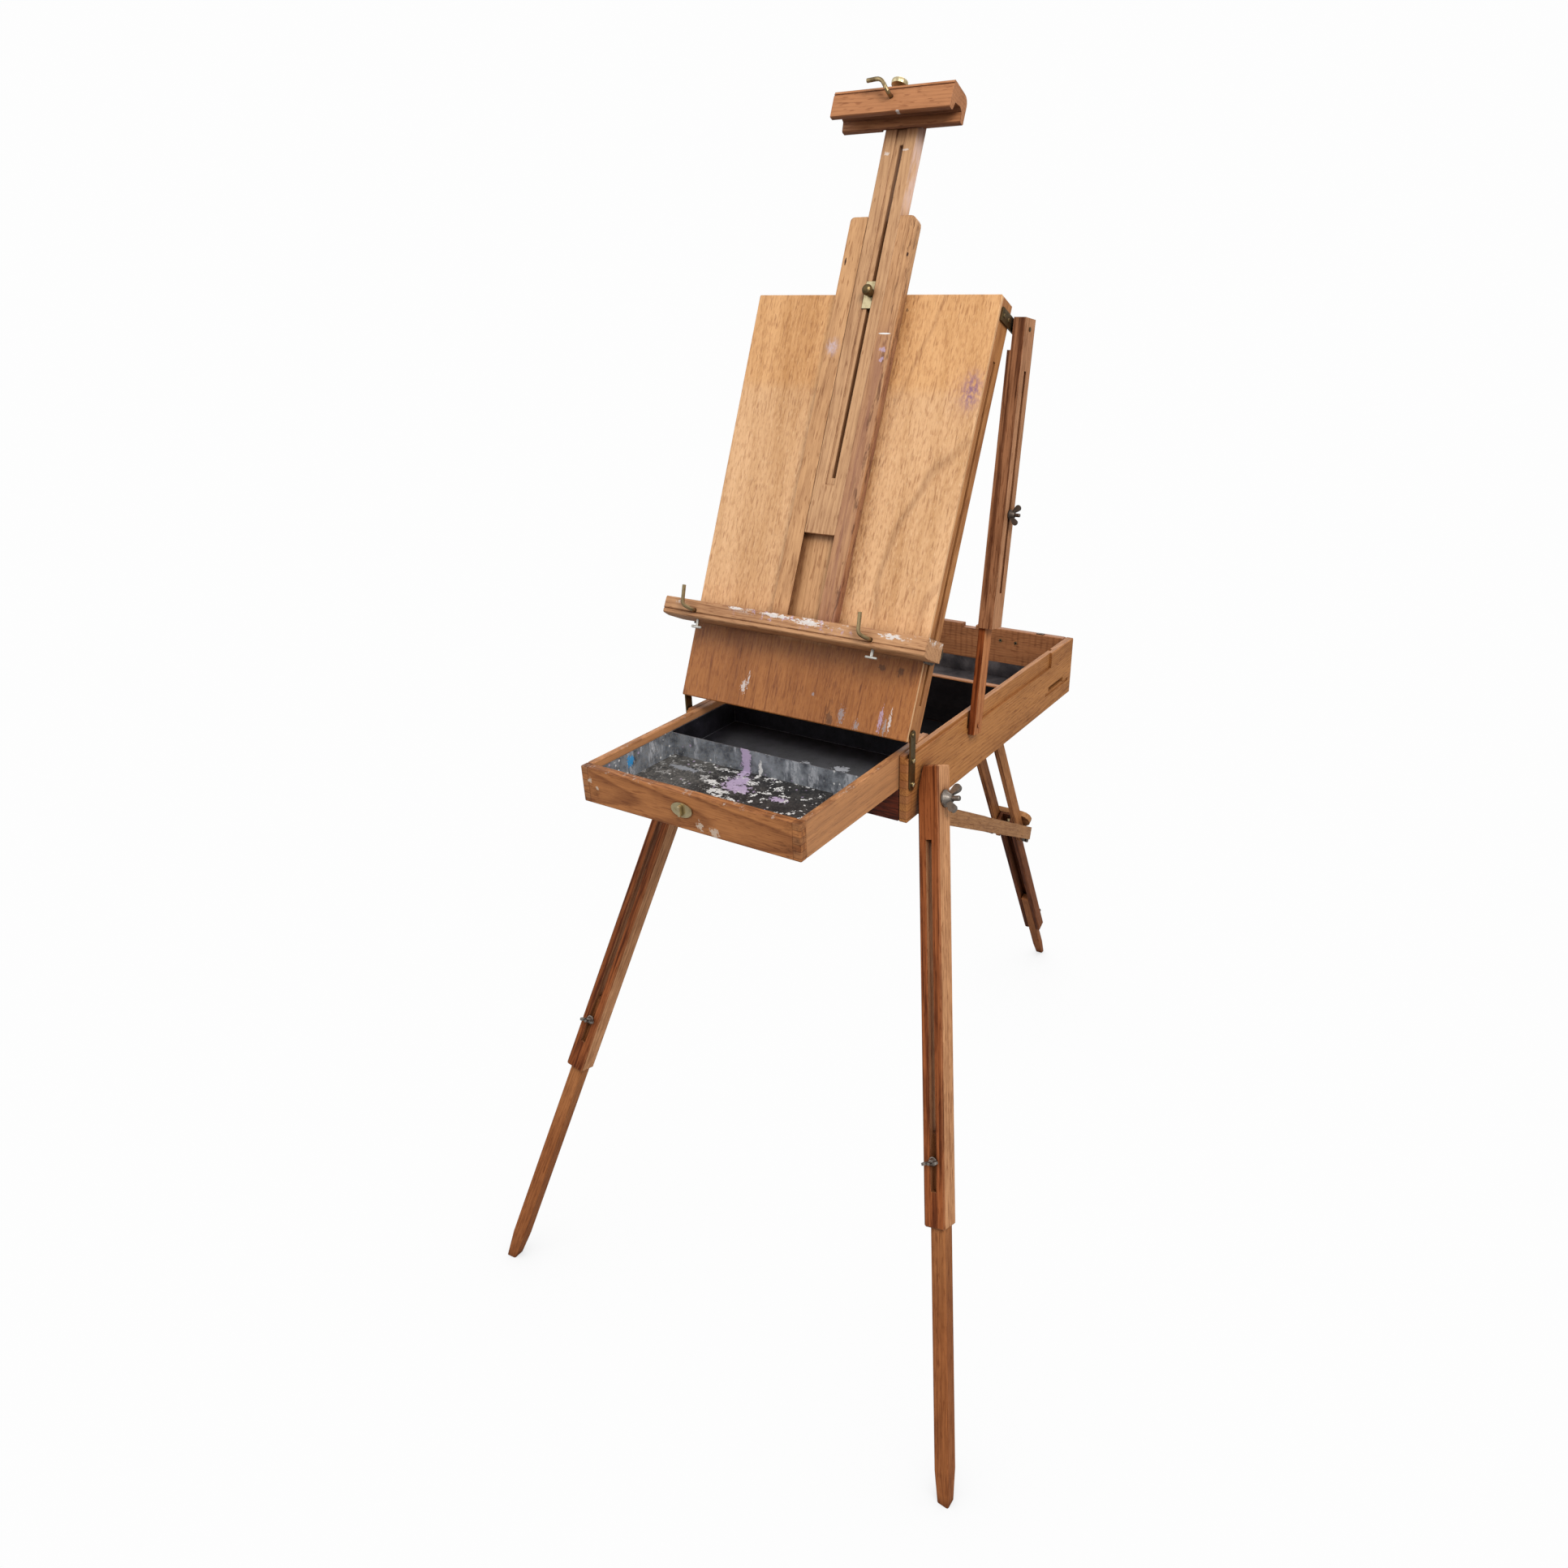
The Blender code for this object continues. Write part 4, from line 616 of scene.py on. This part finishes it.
def inner_lining():
    """Floor and divider: black sheet in the front bay, bare wood elsewhere."""
    g = wood("lined_wood", BOX_ACROSS, rgb(186, 128, 84), rgb(130, 80, 48), 5.2, worn=0.6)
    z, y = g.local(BOX_ACROSS)[:2]
    bay = g.step(y, 0.3106, 0.3114, 1.0, 0.0)
    above = g.step(z, 0.0076, 0.0079)
    below = g.step(z, 0.0770, 0.0776, 1.0, 0.0)
    scuff = g.step(g.noise(g.spot, (60, 60, 60), 4.0, 0.7), 0.35, 0.75, 0.0, 0.35)
    black = g.mix(scuff, rgb(14, 12, 15), rgb(40, 36, 38))
    g.tint(g.times(g.times(bay, above), below), black, 0.55)
    return g.close(shine=0.2)


def drawer_wood(name, grain, seed, front):
    """A drawer board: soiled along its top, and the front one paint-marked."""
    g = wood(name, grain, rgb(184, 122, 72), rgb(118, 68, 36), seed, ring=0.0062,
             centre=(0.024, -0.045) if front else (0.06, 0.10), taper=0.05 if front else 0.012,
             lines=0.7 if front else 0.4, fibre=0.4, worn=0.9, crevice_shade=0.7)
    z, y, x = g.local(DRAWER_ACROSS)
    if not front:
        g.colour = g.mix(0.22, g.colour, rgb(228, 178, 132))
    rim = g.step(z, 0.0435, 0.0462)
    soil = g.step(g.noise(g.spot, (70, 70, 30), 4.0, 0.7), 0.40, 0.62)
    g.shade(g.times(g.times(rim, soil), 0.55), rgb(140, 115, 96))
    smear = drips(g, (x, y, z), (130, 45, 130), 0.59, 0.66, 0.35)
    fine = g.step(g.noise(g.spot, (320, 320, 320), 3.0, 0.7), 0.42, 0.58)
    g.tint(g.times(g.times(rim, smear), g.times(fine, 0.6)), rgb(190, 178, 168), 0.6)
    if front:
        side = g.less(DRAWER_HIGH.x, g.math("ABSOLUTE", x))
        joint_fingers(g, side, z, 0.0105, 0.0085, rgb(150, 104, 68))
        soil = g.step(g.noise(g.spot, (120, 60, 60), 4.0, 0.7), 0.50, 0.66)
        g.shade(g.times(g.times(g.step(side, 0.0, 0.05, 1.0, 0.0), soil), 0.5), rgb(110, 84, 64))
        marks(g, (x, y, z), DRAWER_PAINT, 0.7, 0.6, (330, 330, 330))
    return g.close(shine=WOOD_SHINE)


def leg_wood(name, grain, seed, light, dark, front_shade):
    """A leg: its front face has weathered darker than its sides."""
    g = wood(name, grain, light, dark, seed, ring=0.0045, centre=(0.03, -0.02), taper=0.012,
             lines=0.35, fibre=0.6, fleck=0.6, mottle=0.4, worn=0.7, crevice_shade=0.9)
    front = g.facing(-grain.depth)
    veins = g.noise(g.spot, (190, 190, 6), 3.0, 0.6)
    g.shade(g.times(front, front_shade), rgb(190, 150, 122))
    g.shade(g.times(g.times(front, g.step(veins, 0.46, 0.60)), 0.75), rgb(128, 94, 76))
    return g.close(shine=LEG_SHINE)


def extension_wood(name, grain, seed, light, dark, top, bottom):
    """A leg extension: full colour at the top, shaded below and at its foot."""
    g = wood(name, grain, light, dark, seed, ring=0.004, centre=(0.03, -0.03), taper=0.01,
             lines=0.3, fibre=0.6, fleck=0.5, mottle=0.4, worn=0.5)
    z = g.local(grain)[2]
    g.shade(g.step(z, top, top - 0.16, 0.0, 0.45), rgb(206, 166, 134))
    g.shade(g.step(z, bottom + 0.03, bottom, 0.0, 0.6), rgb(140, 110, 90))
    return g.close(shine=LEG_SHINE)


# ---------------------------------------------------------------------- metal
def metal(name, colour, dark, roughness):
    """Metal tarnished in clouds, with painted shade in its corners and a painted highlight along its
    edges.
    """
    g = Graph(name)
    g.colour = colour
    cloud = g.noise(g.place, (90, 90, 90), 4.0, 0.65)
    g.tint(g.step(cloud, 0.40, 0.72, 0.0, 0.6), dark)
    # painted shade: corners darkened by ambient occlusion
    corner = tuple(c * 0.5 for c in dark[:3]) + (1.0,)
    g.tint(g.times(g.crevice(0.006, 0.3, 0.95), 0.75), corner)
    g.roughness = g.step(cloud, 0.3, 0.7, roughness - 0.08, roughness + 0.16)
    # painted highlight: a lighter tint along the edges
    g.tint(g.times(g.edge(0.0008, 0.01, 0.25), 0.35), tuple(min(1, c * 1.35) for c in colour))
    g.lift(g.noise(g.place, (700, 700, 700), 3.0), 0.5)
    g.relief = 0.00012
    return g.close(metallic=1.0)


TRAY_PARTITION = (0.1592, 0.1598)   # behind the drawer's front, within the partition's thickness


def tray_metal():
    """Dark sheet metal: splashed with dried paint in front, nearly black behind, with a painted
    highlight along its edges.
    """
    g = Graph("tray_metal")
    z, y, x = g.local(DRAWER_ACROSS)
    axes = (x, y, z)
    front = g.step(y, *TRAY_PARTITION, 1.0, 0.0)
    floor = g.facing(Z)
    walls = g.less(1.0, floor)
    cloud = g.noise(g.place, (55, 55, 55), 5.0, 0.7)
    g.colour = g.mix(g.step(cloud, 0.35, 0.75), rgb(15, 14, 19), rgb(34, 32, 40))
    soot = g.mix(g.step(cloud, 0.35, 0.75), rgb(30, 29, 31), rgb(62, 59, 57))
    g.tint(front, soot, 0.5)
    bloom = g.mix(g.step(cloud, 0.30, 0.65), rgb(74, 78, 86), rgb(146, 151, 158))
    g.tint(g.times(g.times(front, walls), 0.85), bloom, 0.42)
    left = g.step(x, -0.085, -0.050, 1.0, 0.0)
    grey = g.mix(g.step(cloud, 0.3, 0.7), rgb(66, 66, 66), rgb(104, 102, 98))
    g.tint(g.times(g.times(front, floor), g.times(left, 0.55)), grey, 0.6)
    speck = g.step(g.noise(g.place, (300, 300, 300), 4.0, 0.7), 0.50, 0.60)
    g.tint(g.times(g.times(front, speck), g.step(x, -0.15, 0.05, 0.55, 0.16)),
           rgb(132, 128, 122), 0.8)
    swirl = g.noise(g.place, (70, 88, 88), 4.0, 0.68)
    flakes = g.times(g.step(swirl, 0.580, 0.592), g.step(swirl, 0.655, 0.675, 1.0, 0.0))
    strength = g.times(g.times(front, floor), g.step(x, -0.10, -0.02, 0.30, 0.95))
    g.tint(g.times(flakes, strength), WHITE_PAINT, 0.55)
    dots = g.step(g.cells(g.place, (120, 120, 120)), 0.17, 0.21, 1.0, 0.0)
    seldom = g.step(g.noise(g.place, (26, 26, 26), 2.0), 0.50, 0.56)
    g.tint(g.times(g.times(dots, seldom), g.times(front, 0.9)), WHITE_PAINT, 0.55)
    dots = g.step(g.cells(g.place, (85, 85, 85)), 0.12, 0.16, 1.0, 0.0)
    seldom = g.step(g.noise(g.place, (33, 33, 33), 2.0), 0.48, 0.40)
    g.tint(g.times(g.times(dots, seldom), g.times(front, 0.8)), LILAC_PAINT, 0.55)
    runs = drips(g, axes, (85, 85, 18), 0.55, 0.63, 0.45)
    fine = g.step(g.noise(g.place, (240, 240, 120), 3.0, 0.7), 0.38, 0.56)
    g.tint(g.times(g.times(g.times(front, walls), g.times(runs, fine)), 0.75),
           rgb(186, 188, 194), 0.55)
    marks(g, axes, TRAY_PAINT, 0.88, 0.5, (190, 190, 190), roughness=0.5, raised=1.5)
    # painted highlight: a light grey tint along the edges, such as the partition's top
    g.tint(g.times(g.edge(0.0012), 0.45), rgb(150, 152, 158), 0.4)
    g.lift(flakes, 1.0)
    g.relief = 0.0005
    return g.close(metallic=0.1, shine=0.3)


def zinc():
    """The rear bay's dull sheet, with a little rust and painted shade in its corners."""
    g = Graph("zinc_sheet")
    cloud = g.noise(g.place, (30, 30, 30), 5.0, 0.7)
    g.colour = g.mix(g.step(cloud, 0.3, 0.75), rgb(58, 56, 60), rgb(112, 108, 110))
    rust = g.step(g.noise(g.place, (70, 70, 70), 4.0, 0.7), 0.60, 0.74)
    g.tint(g.times(rust, 0.5), rgb(84, 58, 44), 0.8)
    # painted shade: corners and hollows darkened by ambient occlusion
    g.shade(g.times(g.crevice(0.03), 0.6), rgb(110, 100, 95))
    g.roughness = g.step(cloud, 0.3, 0.7, 0.36, 0.54)
    g.lift(cloud, 0.4)
    return g.close(metallic=0.4)


# ---------------------------------------------------- materials onto the nodes
def paint(material, *nodes):
    """Gives CAD nodes a material in place of their own."""
    for name in nodes:
        node = frame["nodes"][name]
        node.data.materials.clear()
        node.data.materials.append(material)


def stretcher_line(side):
    """A stretcher's pivot, the way it runs, and how far back it reaches."""
    start = joint_place(f"stretcher_{side}_fold")
    low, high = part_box("stretcher_" + side)
    end = Vector((low.x if side == "right" else high.x, high.y, low.z))
    return start, (end - start).normalized(), high.y


def dress_woods():
    paint(panel_veneer(), "panel_face")
    paint(frame_wood(), "panel_stile_left", "panel_stile_right", "panel_rail_top",
          "panel_rail_bottom")
    paint(outer_mast_wood(), "mast_outer")
    paint(inner_mast_wood(), "mast_inner")
    paint(clamp_wood(), "top_clamp")
    paint(ledge_wood(), "ledge")
    paint(box_side(), "box_side_left", "box_side_right")
    paint(back_wall(), "box_back")
    paint(front_rail(), "box_front_rail")
    paint(inner_lining(), "box_floor", "box_divider")
    paint(drawer_wood("drawer_front_wood", DRAWER_ACROSS, 0.6, True), "drawer_front")
    paint(drawer_wood("drawer_side_wood", DRAWER_ALONG, 1.9, False), "drawer_side_left",
          "drawer_side_right", "drawer_back", "drawer_bottom")
    for side, seed in (("left", 7.7), ("right", 8.4)):
        grain = leg_grain(f"front_leg_{side}_fold", f"front_extension_{side}_slide")
        paint(leg_wood(f"leg_wood_{side}", grain, seed, rgb(216, 160, 114), rgb(126, 78, 46), 1.0),
              "front_leg_" + side)
        paint(extension_wood(f"extension_wood_{side}", grain, seed + 1.0, rgb(176, 116, 70),
                             rgb(112, 64, 34), -0.54, -0.92), "front_extension_" + side)
    paint(leg_wood("strut_wood", STRUT, 5.5, rgb(188, 136, 98), rgb(114, 74, 48), 0.35),
          "strut_upper_left", "strut_upper_right")
    paint(leg_wood("lower_strut_wood", STRUT, 4.1, rgb(200, 134, 84), rgb(140, 80, 46), 0.9),
          "strut_lower_left", "strut_lower_right")
    paint(leg_wood("rear_rail_wood", REAR, 2.9, rgb(182, 124, 76), rgb(116, 70, 40), 0.3),
          "rear_rail_left", "rear_rail_right")
    cross = Grain(REAR.origin, REAR.along, REAR.depth, X)
    paint(leg_wood("crosspiece_wood", cross, 3.9, rgb(178, 128, 82), rgb(122, 78, 46), 0.2),
          "rear_crosspiece")
    paint(leg_wood("rear_channel_wood", REAR, 6.6, rgb(140, 84, 50), rgb(80, 44, 24), 0.5),
          "rear_channel")
    paint(extension_wood("rear_extension_wood", REAR, 1.4, rgb(156, 98, 58), rgb(92, 52, 28),
                         -0.78, -0.92), "rear_extension")
    for side in ("left", "right"):
        level = joint_axis(f"stretcher_{side}_fold")
        start, along, _ = stretcher_line(side)
        paint(leg_wood(f"stretcher_wood_{side}", Grain(start, level.cross(along), level, along),
                       9.1, rgb(180, 130, 84), rgb(124, 80, 46), 0.1), "stretcher_" + side)


def dress_metals():
    brass = metal("brass", rgb(222, 206, 164), rgb(148, 126, 88), 0.32)
    old_brass = metal("old_brass", rgb(120, 102, 70), rgb(58, 46, 32), 0.42)
    hook_metal = metal("hook_metal", rgb(160, 140, 104), rgb(84, 66, 44), 0.34)
    pewter = metal("pewter", rgb(150, 142, 134), rgb(82, 74, 68), 0.42)
    steel = metal("dark_steel", rgb(108, 98, 90), rgb(52, 44, 38), 0.4)
    bright = metal("bright_steel", rgb(206, 202, 194), rgb(128, 122, 114), 0.34)
    paint(tray_metal(), "drawer_liner")
    paint(zinc(), "rear_liner")
    paint(brass, "drawer_latch", "mast_plate", "clamp_screw", "rear_bolt")
    paint(bright, "hook_screw_left", "hook_screw_right")
    paint(hook_metal, "hook_left", "hook_right", "clamp_hook")
    paint(old_brass, "strap_left", "strap_right", "strut_bracket_left", "strut_bracket_right",
          "mast_knob")
    paint(pewter, "leg_nut_left", "leg_nut_right", "extension_nut_right", "extension_nut_left")
    paint(steel, "strut_nut_left", "strut_nut_right", "rear_nut", "ledge_guide_left",
          "ledge_guide_right")
    return {"brass": brass, "hook_metal": hook_metal, "steel": steel, "bright": bright}


# -------------------------------------------------------------- small fittings
SCREW_SUNK = 0.0004     # a screw head, outward from the surface it sits in
SCREW_NECK = 0.0006
SCREW_RIM = 0.0007
SCREW_TOP = 0.0014
SLOT_FLOOR = 0.0009
SLOT_DEPTH = 0.0006
SLOT_WIDTH = 0.0008

STRAP_SCREWS = (("low", 0.008), ("high", 0.040))        # above the strap's lower end
STRAP_SCREW_RADIUS = 0.0030
STRAP_SLOT = Vector((0, 0.6, 0.8))
GUIDE_SCREWS = (("low", -0.0045), ("high", 0.0040))     # up the panel from the boss's middle
GUIDE_SCREW_RADIUS = 0.0026
BOSS_RADIUS = 0.0105
BOSS_FACE_RADIUS = 0.0088
BOSS_SUNK = 0.0005
BOSS_PROUD = 0.0060
BOSS_FACE_FLOOR = 0.0055
BOSS_FACE = 0.0062

CLIP_LENGTH = 0.034     # the steel strap at a stretcher's rear end
CLIP_ON_WOOD = 0.014    # of which this much lies on the wood
CLIP_HEIGHT = 0.024
CLIP_THICK = 0.0014
CLIP_FACE = 0.0042      # inward from the stretcher's line
CLIP_INSET = 0.004      # ahead of the stretcher's rear end
EYE_RADIUS = 0.0034
EYE_BORE = 0.0021
EYE_FACE = 0.0022       # inward from the stretcher's line
# the bore's dark discs are painted shade in the hole
BORE_SPAN = (0.0118, 0.0124)    # the bore's dark discs, up and down from the eye's middle

EYELETS = ((0.0516, 0.0713), (0.0781, 0.0705))  # across, and above the box's bottom
EYELET_RADIUS = 0.0030
EYELET_LIP = 0.0026
EYELET_BORE = 0.0014
CATCH_PLACE = (0.112, -0.0105, -0.0002)     # across, then from the box's rear top edge
CATCH_SIZE = (0.012, 0.005, 0.0018)


def slot_shade_and_boss_face():
    """Near-black: painted shade in slots and bores, and the dark face of a guide's boss."""
    g = Graph("painted_hollow_shade_and_dark_steel")
    g.colour = rgb(18, 15, 13)
    g.roughness = 0.7
    return g.close(shine=0.2)


def add_piece(name, bm, material, body):
    """Makes a piece from a mesh under construction and rides it on a body."""
    mesh = bpy.data.meshes.new(name)
    bmesh.ops.recalc_face_normals(bm, faces=bm.faces)
    bm.to_mesh(mesh)
    bm.free()
    piece = bpy.data.objects.new(name, mesh)
    bpy.context.scene.collection.objects.link(piece)
    mesh.materials.append(material)
    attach(piece, body)


def block(bm, corner, spans):
    """A box from one corner and three edge vectors."""
    corners = [corner + spans[0] * a + spans[1] * b + spans[2] * c
               for a in (0, 1) for b in (0, 1) for c in (0, 1)]
    verts = [bm.verts.new(place) for place in corners]
    for loop in ((0, 1, 3, 2), (4, 6, 7, 5), (0, 4, 5, 1), (2, 3, 7, 6), (0, 2, 6, 4),
                 (1, 5, 7, 3)):
        bm.faces.new([verts[index] for index in loop])


def rod(bm, start, end, radius, top=None, sides=20):
    """A round bar, or a cone with another radius at its end."""
    turn = (end - start).to_track_quat("Z", "Y").to_matrix().to_4x4()
    matrix = Matrix.Translation((start + end) / 2) @ turn
    bmesh.ops.create_cone(bm, cap_ends=True, segments=sides, radius1=radius,
                          radius2=radius if top is None else top,
                          depth=(end - start).length, matrix=matrix)


def screw(name, place, out, slot, radius, material, hollow_shade_and_steel, body):
    """A slotted round-head screw: out points away from the wood."""
    bm = bmesh.new()
    rod(bm, place - out * SCREW_SUNK, place + out * SCREW_RIM, radius)
    rod(bm, place + out * SCREW_NECK, place + out * SCREW_TOP, radius, radius * 0.6)
    add_piece(name, bm, material, body)
    # the slot is a near-black bar of painted shade
    bm = bmesh.new()
    across = out.cross(slot) * SLOT_WIDTH
    corner = place - slot * radius * 0.75 - across / 2 + out * SLOT_FLOOR
    block(bm, corner, (slot * radius * 1.5, across, out * SLOT_DEPTH))
    add_piece(name + "_slot", bm, hollow_shade_and_steel, body)


def stretcher_fittings(side, metals, hollow_shade_and_steel):
    """The strap at a stretcher's rear end, rolled into an upright eye."""
    name = "stretcher_" + side
    start, along, rear = stretcher_line(side)
    out = X if side == "right" else -X
    level = (out - along * out.dot(along)).normalized()
    up = level.cross(along).normalized()
    if up.z < 0:
        up = -up
    middle = start + along * ((rear - start.y) / along.y - CLIP_INSET)
    half = up * CLIP_HEIGHT / 2
    bm = bmesh.new()
    inner = middle - level * CLIP_FACE - along * CLIP_ON_WOOD - half
    block(bm, inner, (along * CLIP_LENGTH, -level * CLIP_THICK, half * 2))
    eye = middle + along * (CLIP_LENGTH - CLIP_ON_WOOD) - level * EYE_FACE
    rod(bm, eye - half, eye + half, EYE_RADIUS)
    add_piece("stretcher_strap_" + side, bm, metals["steel"], name)
    # dark discs in the eye's bore: painted shade in the hole
    bm = bmesh.new()
    near, far = BORE_SPAN
    rod(bm, eye + up * near, eye + up * far, EYE_BORE)
    rod(bm, eye - up * far, eye - up * near, EYE_BORE)
    add_piece("stretcher_strap_bore_" + side, bm, hollow_shade_and_steel, name)


def strap_fittings(side, out, metals, hollow_shade_and_steel):
    """The two screws of a strap that carries the panel."""
    low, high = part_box("strap_" + side)
    face = high.x if side == "right" else low.x
    for row, height in STRAP_SCREWS:
        place = Vector((face, (low.y + high.y) / 2, low.z + height))
        screw(f"strap_screw_{side}_{row}", place, out, STRAP_SLOT, STRAP_SCREW_RADIUS,
              metals["brass"], hollow_shade_and_steel, "box")


def guide_fittings(side, out, metals, hollow_shade_and_steel):
    """The round boss on a ledge guide, and its two screws."""
    low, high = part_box("ledge_guide_" + side)
    middle = (low + high) / 2
    middle.x = high.x if side == "right" else low.x
    bm = bmesh.new()
    rod(bm, middle - out * BOSS_SUNK, middle + out * BOSS_PROUD, BOSS_RADIUS)
    add_piece("guide_boss_" + side, bm, metals["hook_metal"], "ledge")
    bm = bmesh.new()
    rod(bm, middle + out * BOSS_FACE_FLOOR, middle + out * BOSS_FACE, BOSS_FACE_RADIUS)
    add_piece("guide_boss_face_" + side, bm, hollow_shade_and_steel, "ledge")
    for row, shift in GUIDE_SCREWS:
        place = middle + out * BOSS_FACE + PANEL_UP * shift
        screw(f"guide_screw_{side}_{row}", place, out, PANEL_UP, GUIDE_SCREW_RADIUS,
              metals["bright"], hollow_shade_and_steel, "ledge")


def back_wall_fittings(metals, hollow_shade_and_steel):
    """Two eyelets inside the back wall, and a catch on its rim."""
    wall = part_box("box_back")[0].y
    for index, (x, height) in enumerate(EYELETS):
        place = Vector((x, wall, BOX_LOW.z + height))
        bm = bmesh.new()
        rod(bm, place + Y * 0.0004, place - Y * 0.0012, EYELET_RADIUS, EYELET_LIP)
        add_piece(f"eyelet_{index}", bm, metals["brass"], "box")
        # a dark disc in the eyelet: painted shade in its hole
        bm = bmesh.new()
        rod(bm, place - Y * 0.0011, place - Y * 0.0014, EYELET_BORE)
        add_piece(f"eyelet_bore_{index}", bm, hollow_shade_and_steel, "box")
    across, back, up = CATCH_PLACE
    bm = bmesh.new()
    block(bm, Vector((across, BOX_HIGH.y + back, BOX_HIGH.z + up)),
          [axis * length for axis, length in zip((X, Y, Z), CATCH_SIZE)])
    add_piece("rim_catch", bm, metals["steel"], "box")


def make_fittings(metals):
    hollow_shade_and_steel = slot_shade_and_boss_face()
    for side, out in (("left", -X), ("right", X)):
        stretcher_fittings(side, metals, hollow_shade_and_steel)
        strap_fittings(side, out, metals, hollow_shade_and_steel)
        guide_fittings(side, out, metals, hollow_shade_and_steel)
    back_wall_fittings(metals, hollow_shade_and_steel)


# ------------------------------------------------------------------- the stage
CAMERA_PLACE = (0.7515, -1.3581, 1.4189)    # with the box's middle at y 0
CAMERA_TURN = radians(32.16)
CAMERA_PITCH = radians(26.9)
CAMERA_ROLL = radians(-0.99)
CAMERA_SENSOR = 36.0        # millimetres, as is the lens
CAMERA_LENS = 25.306
CAMERA_SHIFT = (-0.0349, 0.0275)
BOX_MIDDLE_Y = (BOX_LOW.y + BOX_HIGH.y) / 2

FLOOR_RADIUS = 40.0
FLOOR_DROP = 0.0005         # the floor, below the feet
FLOOR_GREY = 0.34           # what the floor gives back to the object
CONTACT_REACH = 0.45        # how far from the object the floor still darkens
PALE = 0.985                # the floor and background, as the camera sees them
CONTACT_SHADE = 0.72        # the floor beneath the object
ROOM_LIGHT = 0.72           # what the background gives to the object


def make_camera():
    data = bpy.data.cameras.new("camera")
    data.sensor_width = CAMERA_SENSOR
    data.lens = CAMERA_LENS
    data.shift_x, data.shift_y = CAMERA_SHIFT
    camera = bpy.data.objects.new("camera", data)
    bpy.context.scene.collection.objects.link(camera)
    right = Vector((cos(CAMERA_TURN), sin(CAMERA_TURN), 0))
    ahead = Vector((-sin(CAMERA_TURN) * cos(CAMERA_PITCH),
                    cos(CAMERA_TURN) * cos(CAMERA_PITCH), -sin(CAMERA_PITCH)))
    up = right.cross(ahead)
    image_right = right * cos(CAMERA_ROLL) + up * sin(CAMERA_ROLL)
    image_up = up * cos(CAMERA_ROLL) - right * sin(CAMERA_ROLL)
    turn = Matrix((image_right, image_up, -ahead)).transposed().to_4x4()
    place = Vector(CAMERA_PLACE) + Vector((0, BOX_MIDDLE_Y, 0))
    camera.matrix_world = Matrix.Translation(place) @ turn
    bpy.context.scene.camera = camera


def area_light(name, place, target, size, power, colour):
    data = bpy.data.lights.new(name, "AREA")
    data.shape = "DISK"
    data.size = size
    data.energy = power
    data.color = colour
    light = bpy.data.objects.new(name, data)
    light.location = place
    aim = Vector(target) - Vector(place)
    light.rotation_euler = aim.to_track_quat("-Z", "Y").to_euler()
    bpy.context.scene.collection.objects.link(light)


def make_stage():
    """A pale seamless floor that gives back little light, under soft lamps; the camera sees it glow,
    with a painted contact shadow around the object.
    """
    bm = bmesh.new()
    bmesh.ops.create_circle(bm, cap_ends=True, segments=64, radius=FLOOR_RADIUS)
    mesh = bpy.data.meshes.new("floor")
    bm.to_mesh(mesh)
    bm.free()
    floor = bpy.data.objects.new("floor", mesh)
    floor.location = (0, 0, CAD_BOX[0].z - FLOOR_DROP)
    bpy.context.scene.collection.objects.link(floor)
    g = Graph("floor_paint")
    g.colour = (FLOOR_GREY, FLOOR_GREY, FLOOR_GREY, 1.0)
    g.roughness = 0.9
    floor.data.materials.append(g.close(shine=0.1))
    contact = g.tree.nodes.new("ShaderNodeAmbientOcclusion")
    contact.samples = 12
    contact.inputs["Distance"].default_value = CONTACT_REACH
    # painted contact shadow: the floor's glow dims near the object by ambient occlusion
    glow = g.tree.nodes.new("ShaderNodeEmission")
    g.feed(glow.inputs["Strength"],
           g.step(contact.outputs["AO"], 0.2, 1.0, CONTACT_SHADE, PALE))
    seen = g.tree.nodes.new("ShaderNodeLightPath")
    swap = g.tree.nodes.new("ShaderNodeMixShader")
    g.feed(swap.inputs[0], seen.outputs["Is Camera Ray"])
    g.tree.links.new(g.shader.outputs[0], swap.inputs[1])
    g.tree.links.new(glow.outputs[0], swap.inputs[2])
    g.tree.links.new(swap.outputs[0], g.tree.nodes["Material Output"].inputs["Surface"])

    world = bpy.data.worlds.new("studio")
    world.use_nodes = True
    tree = world.node_tree
    background = tree.nodes["Background"]
    background.inputs["Color"].default_value = (1.0, 1.0, 1.0, 1.0)
    seen = tree.nodes.new("ShaderNodeLightPath")
    strength = tree.nodes.new("ShaderNodeMapRange")
    tree.links.new(seen.outputs["Is Camera Ray"], strength.inputs["Value"])
    strength.inputs["To Min"].default_value = ROOM_LIGHT
    strength.inputs["To Max"].default_value = PALE
    tree.links.new(strength.outputs["Result"], background.inputs["Strength"])
    bpy.context.scene.world = world

    area_light("key", (2.3, -2.0, 3.7), (0, 0, 0.9), 1.7, 105, (1.0, 0.98, 0.95))
    area_light("fill", (-2.6, -2.4, 2.4), (0, 0, 0.8), 2.6, 22, (0.95, 0.97, 1.0))
    area_light("rear", (-1.0, 3.0, 3.0), (0, 0, 0.8), 2.4, 30, (1.0, 1.0, 1.0))
    bpy.context.scene.view_settings.view_transform = "Standard"


# ----------------------------------------------------------------------- build
dress_woods()
make_fittings(dress_metals())
make_stage()
make_camera()
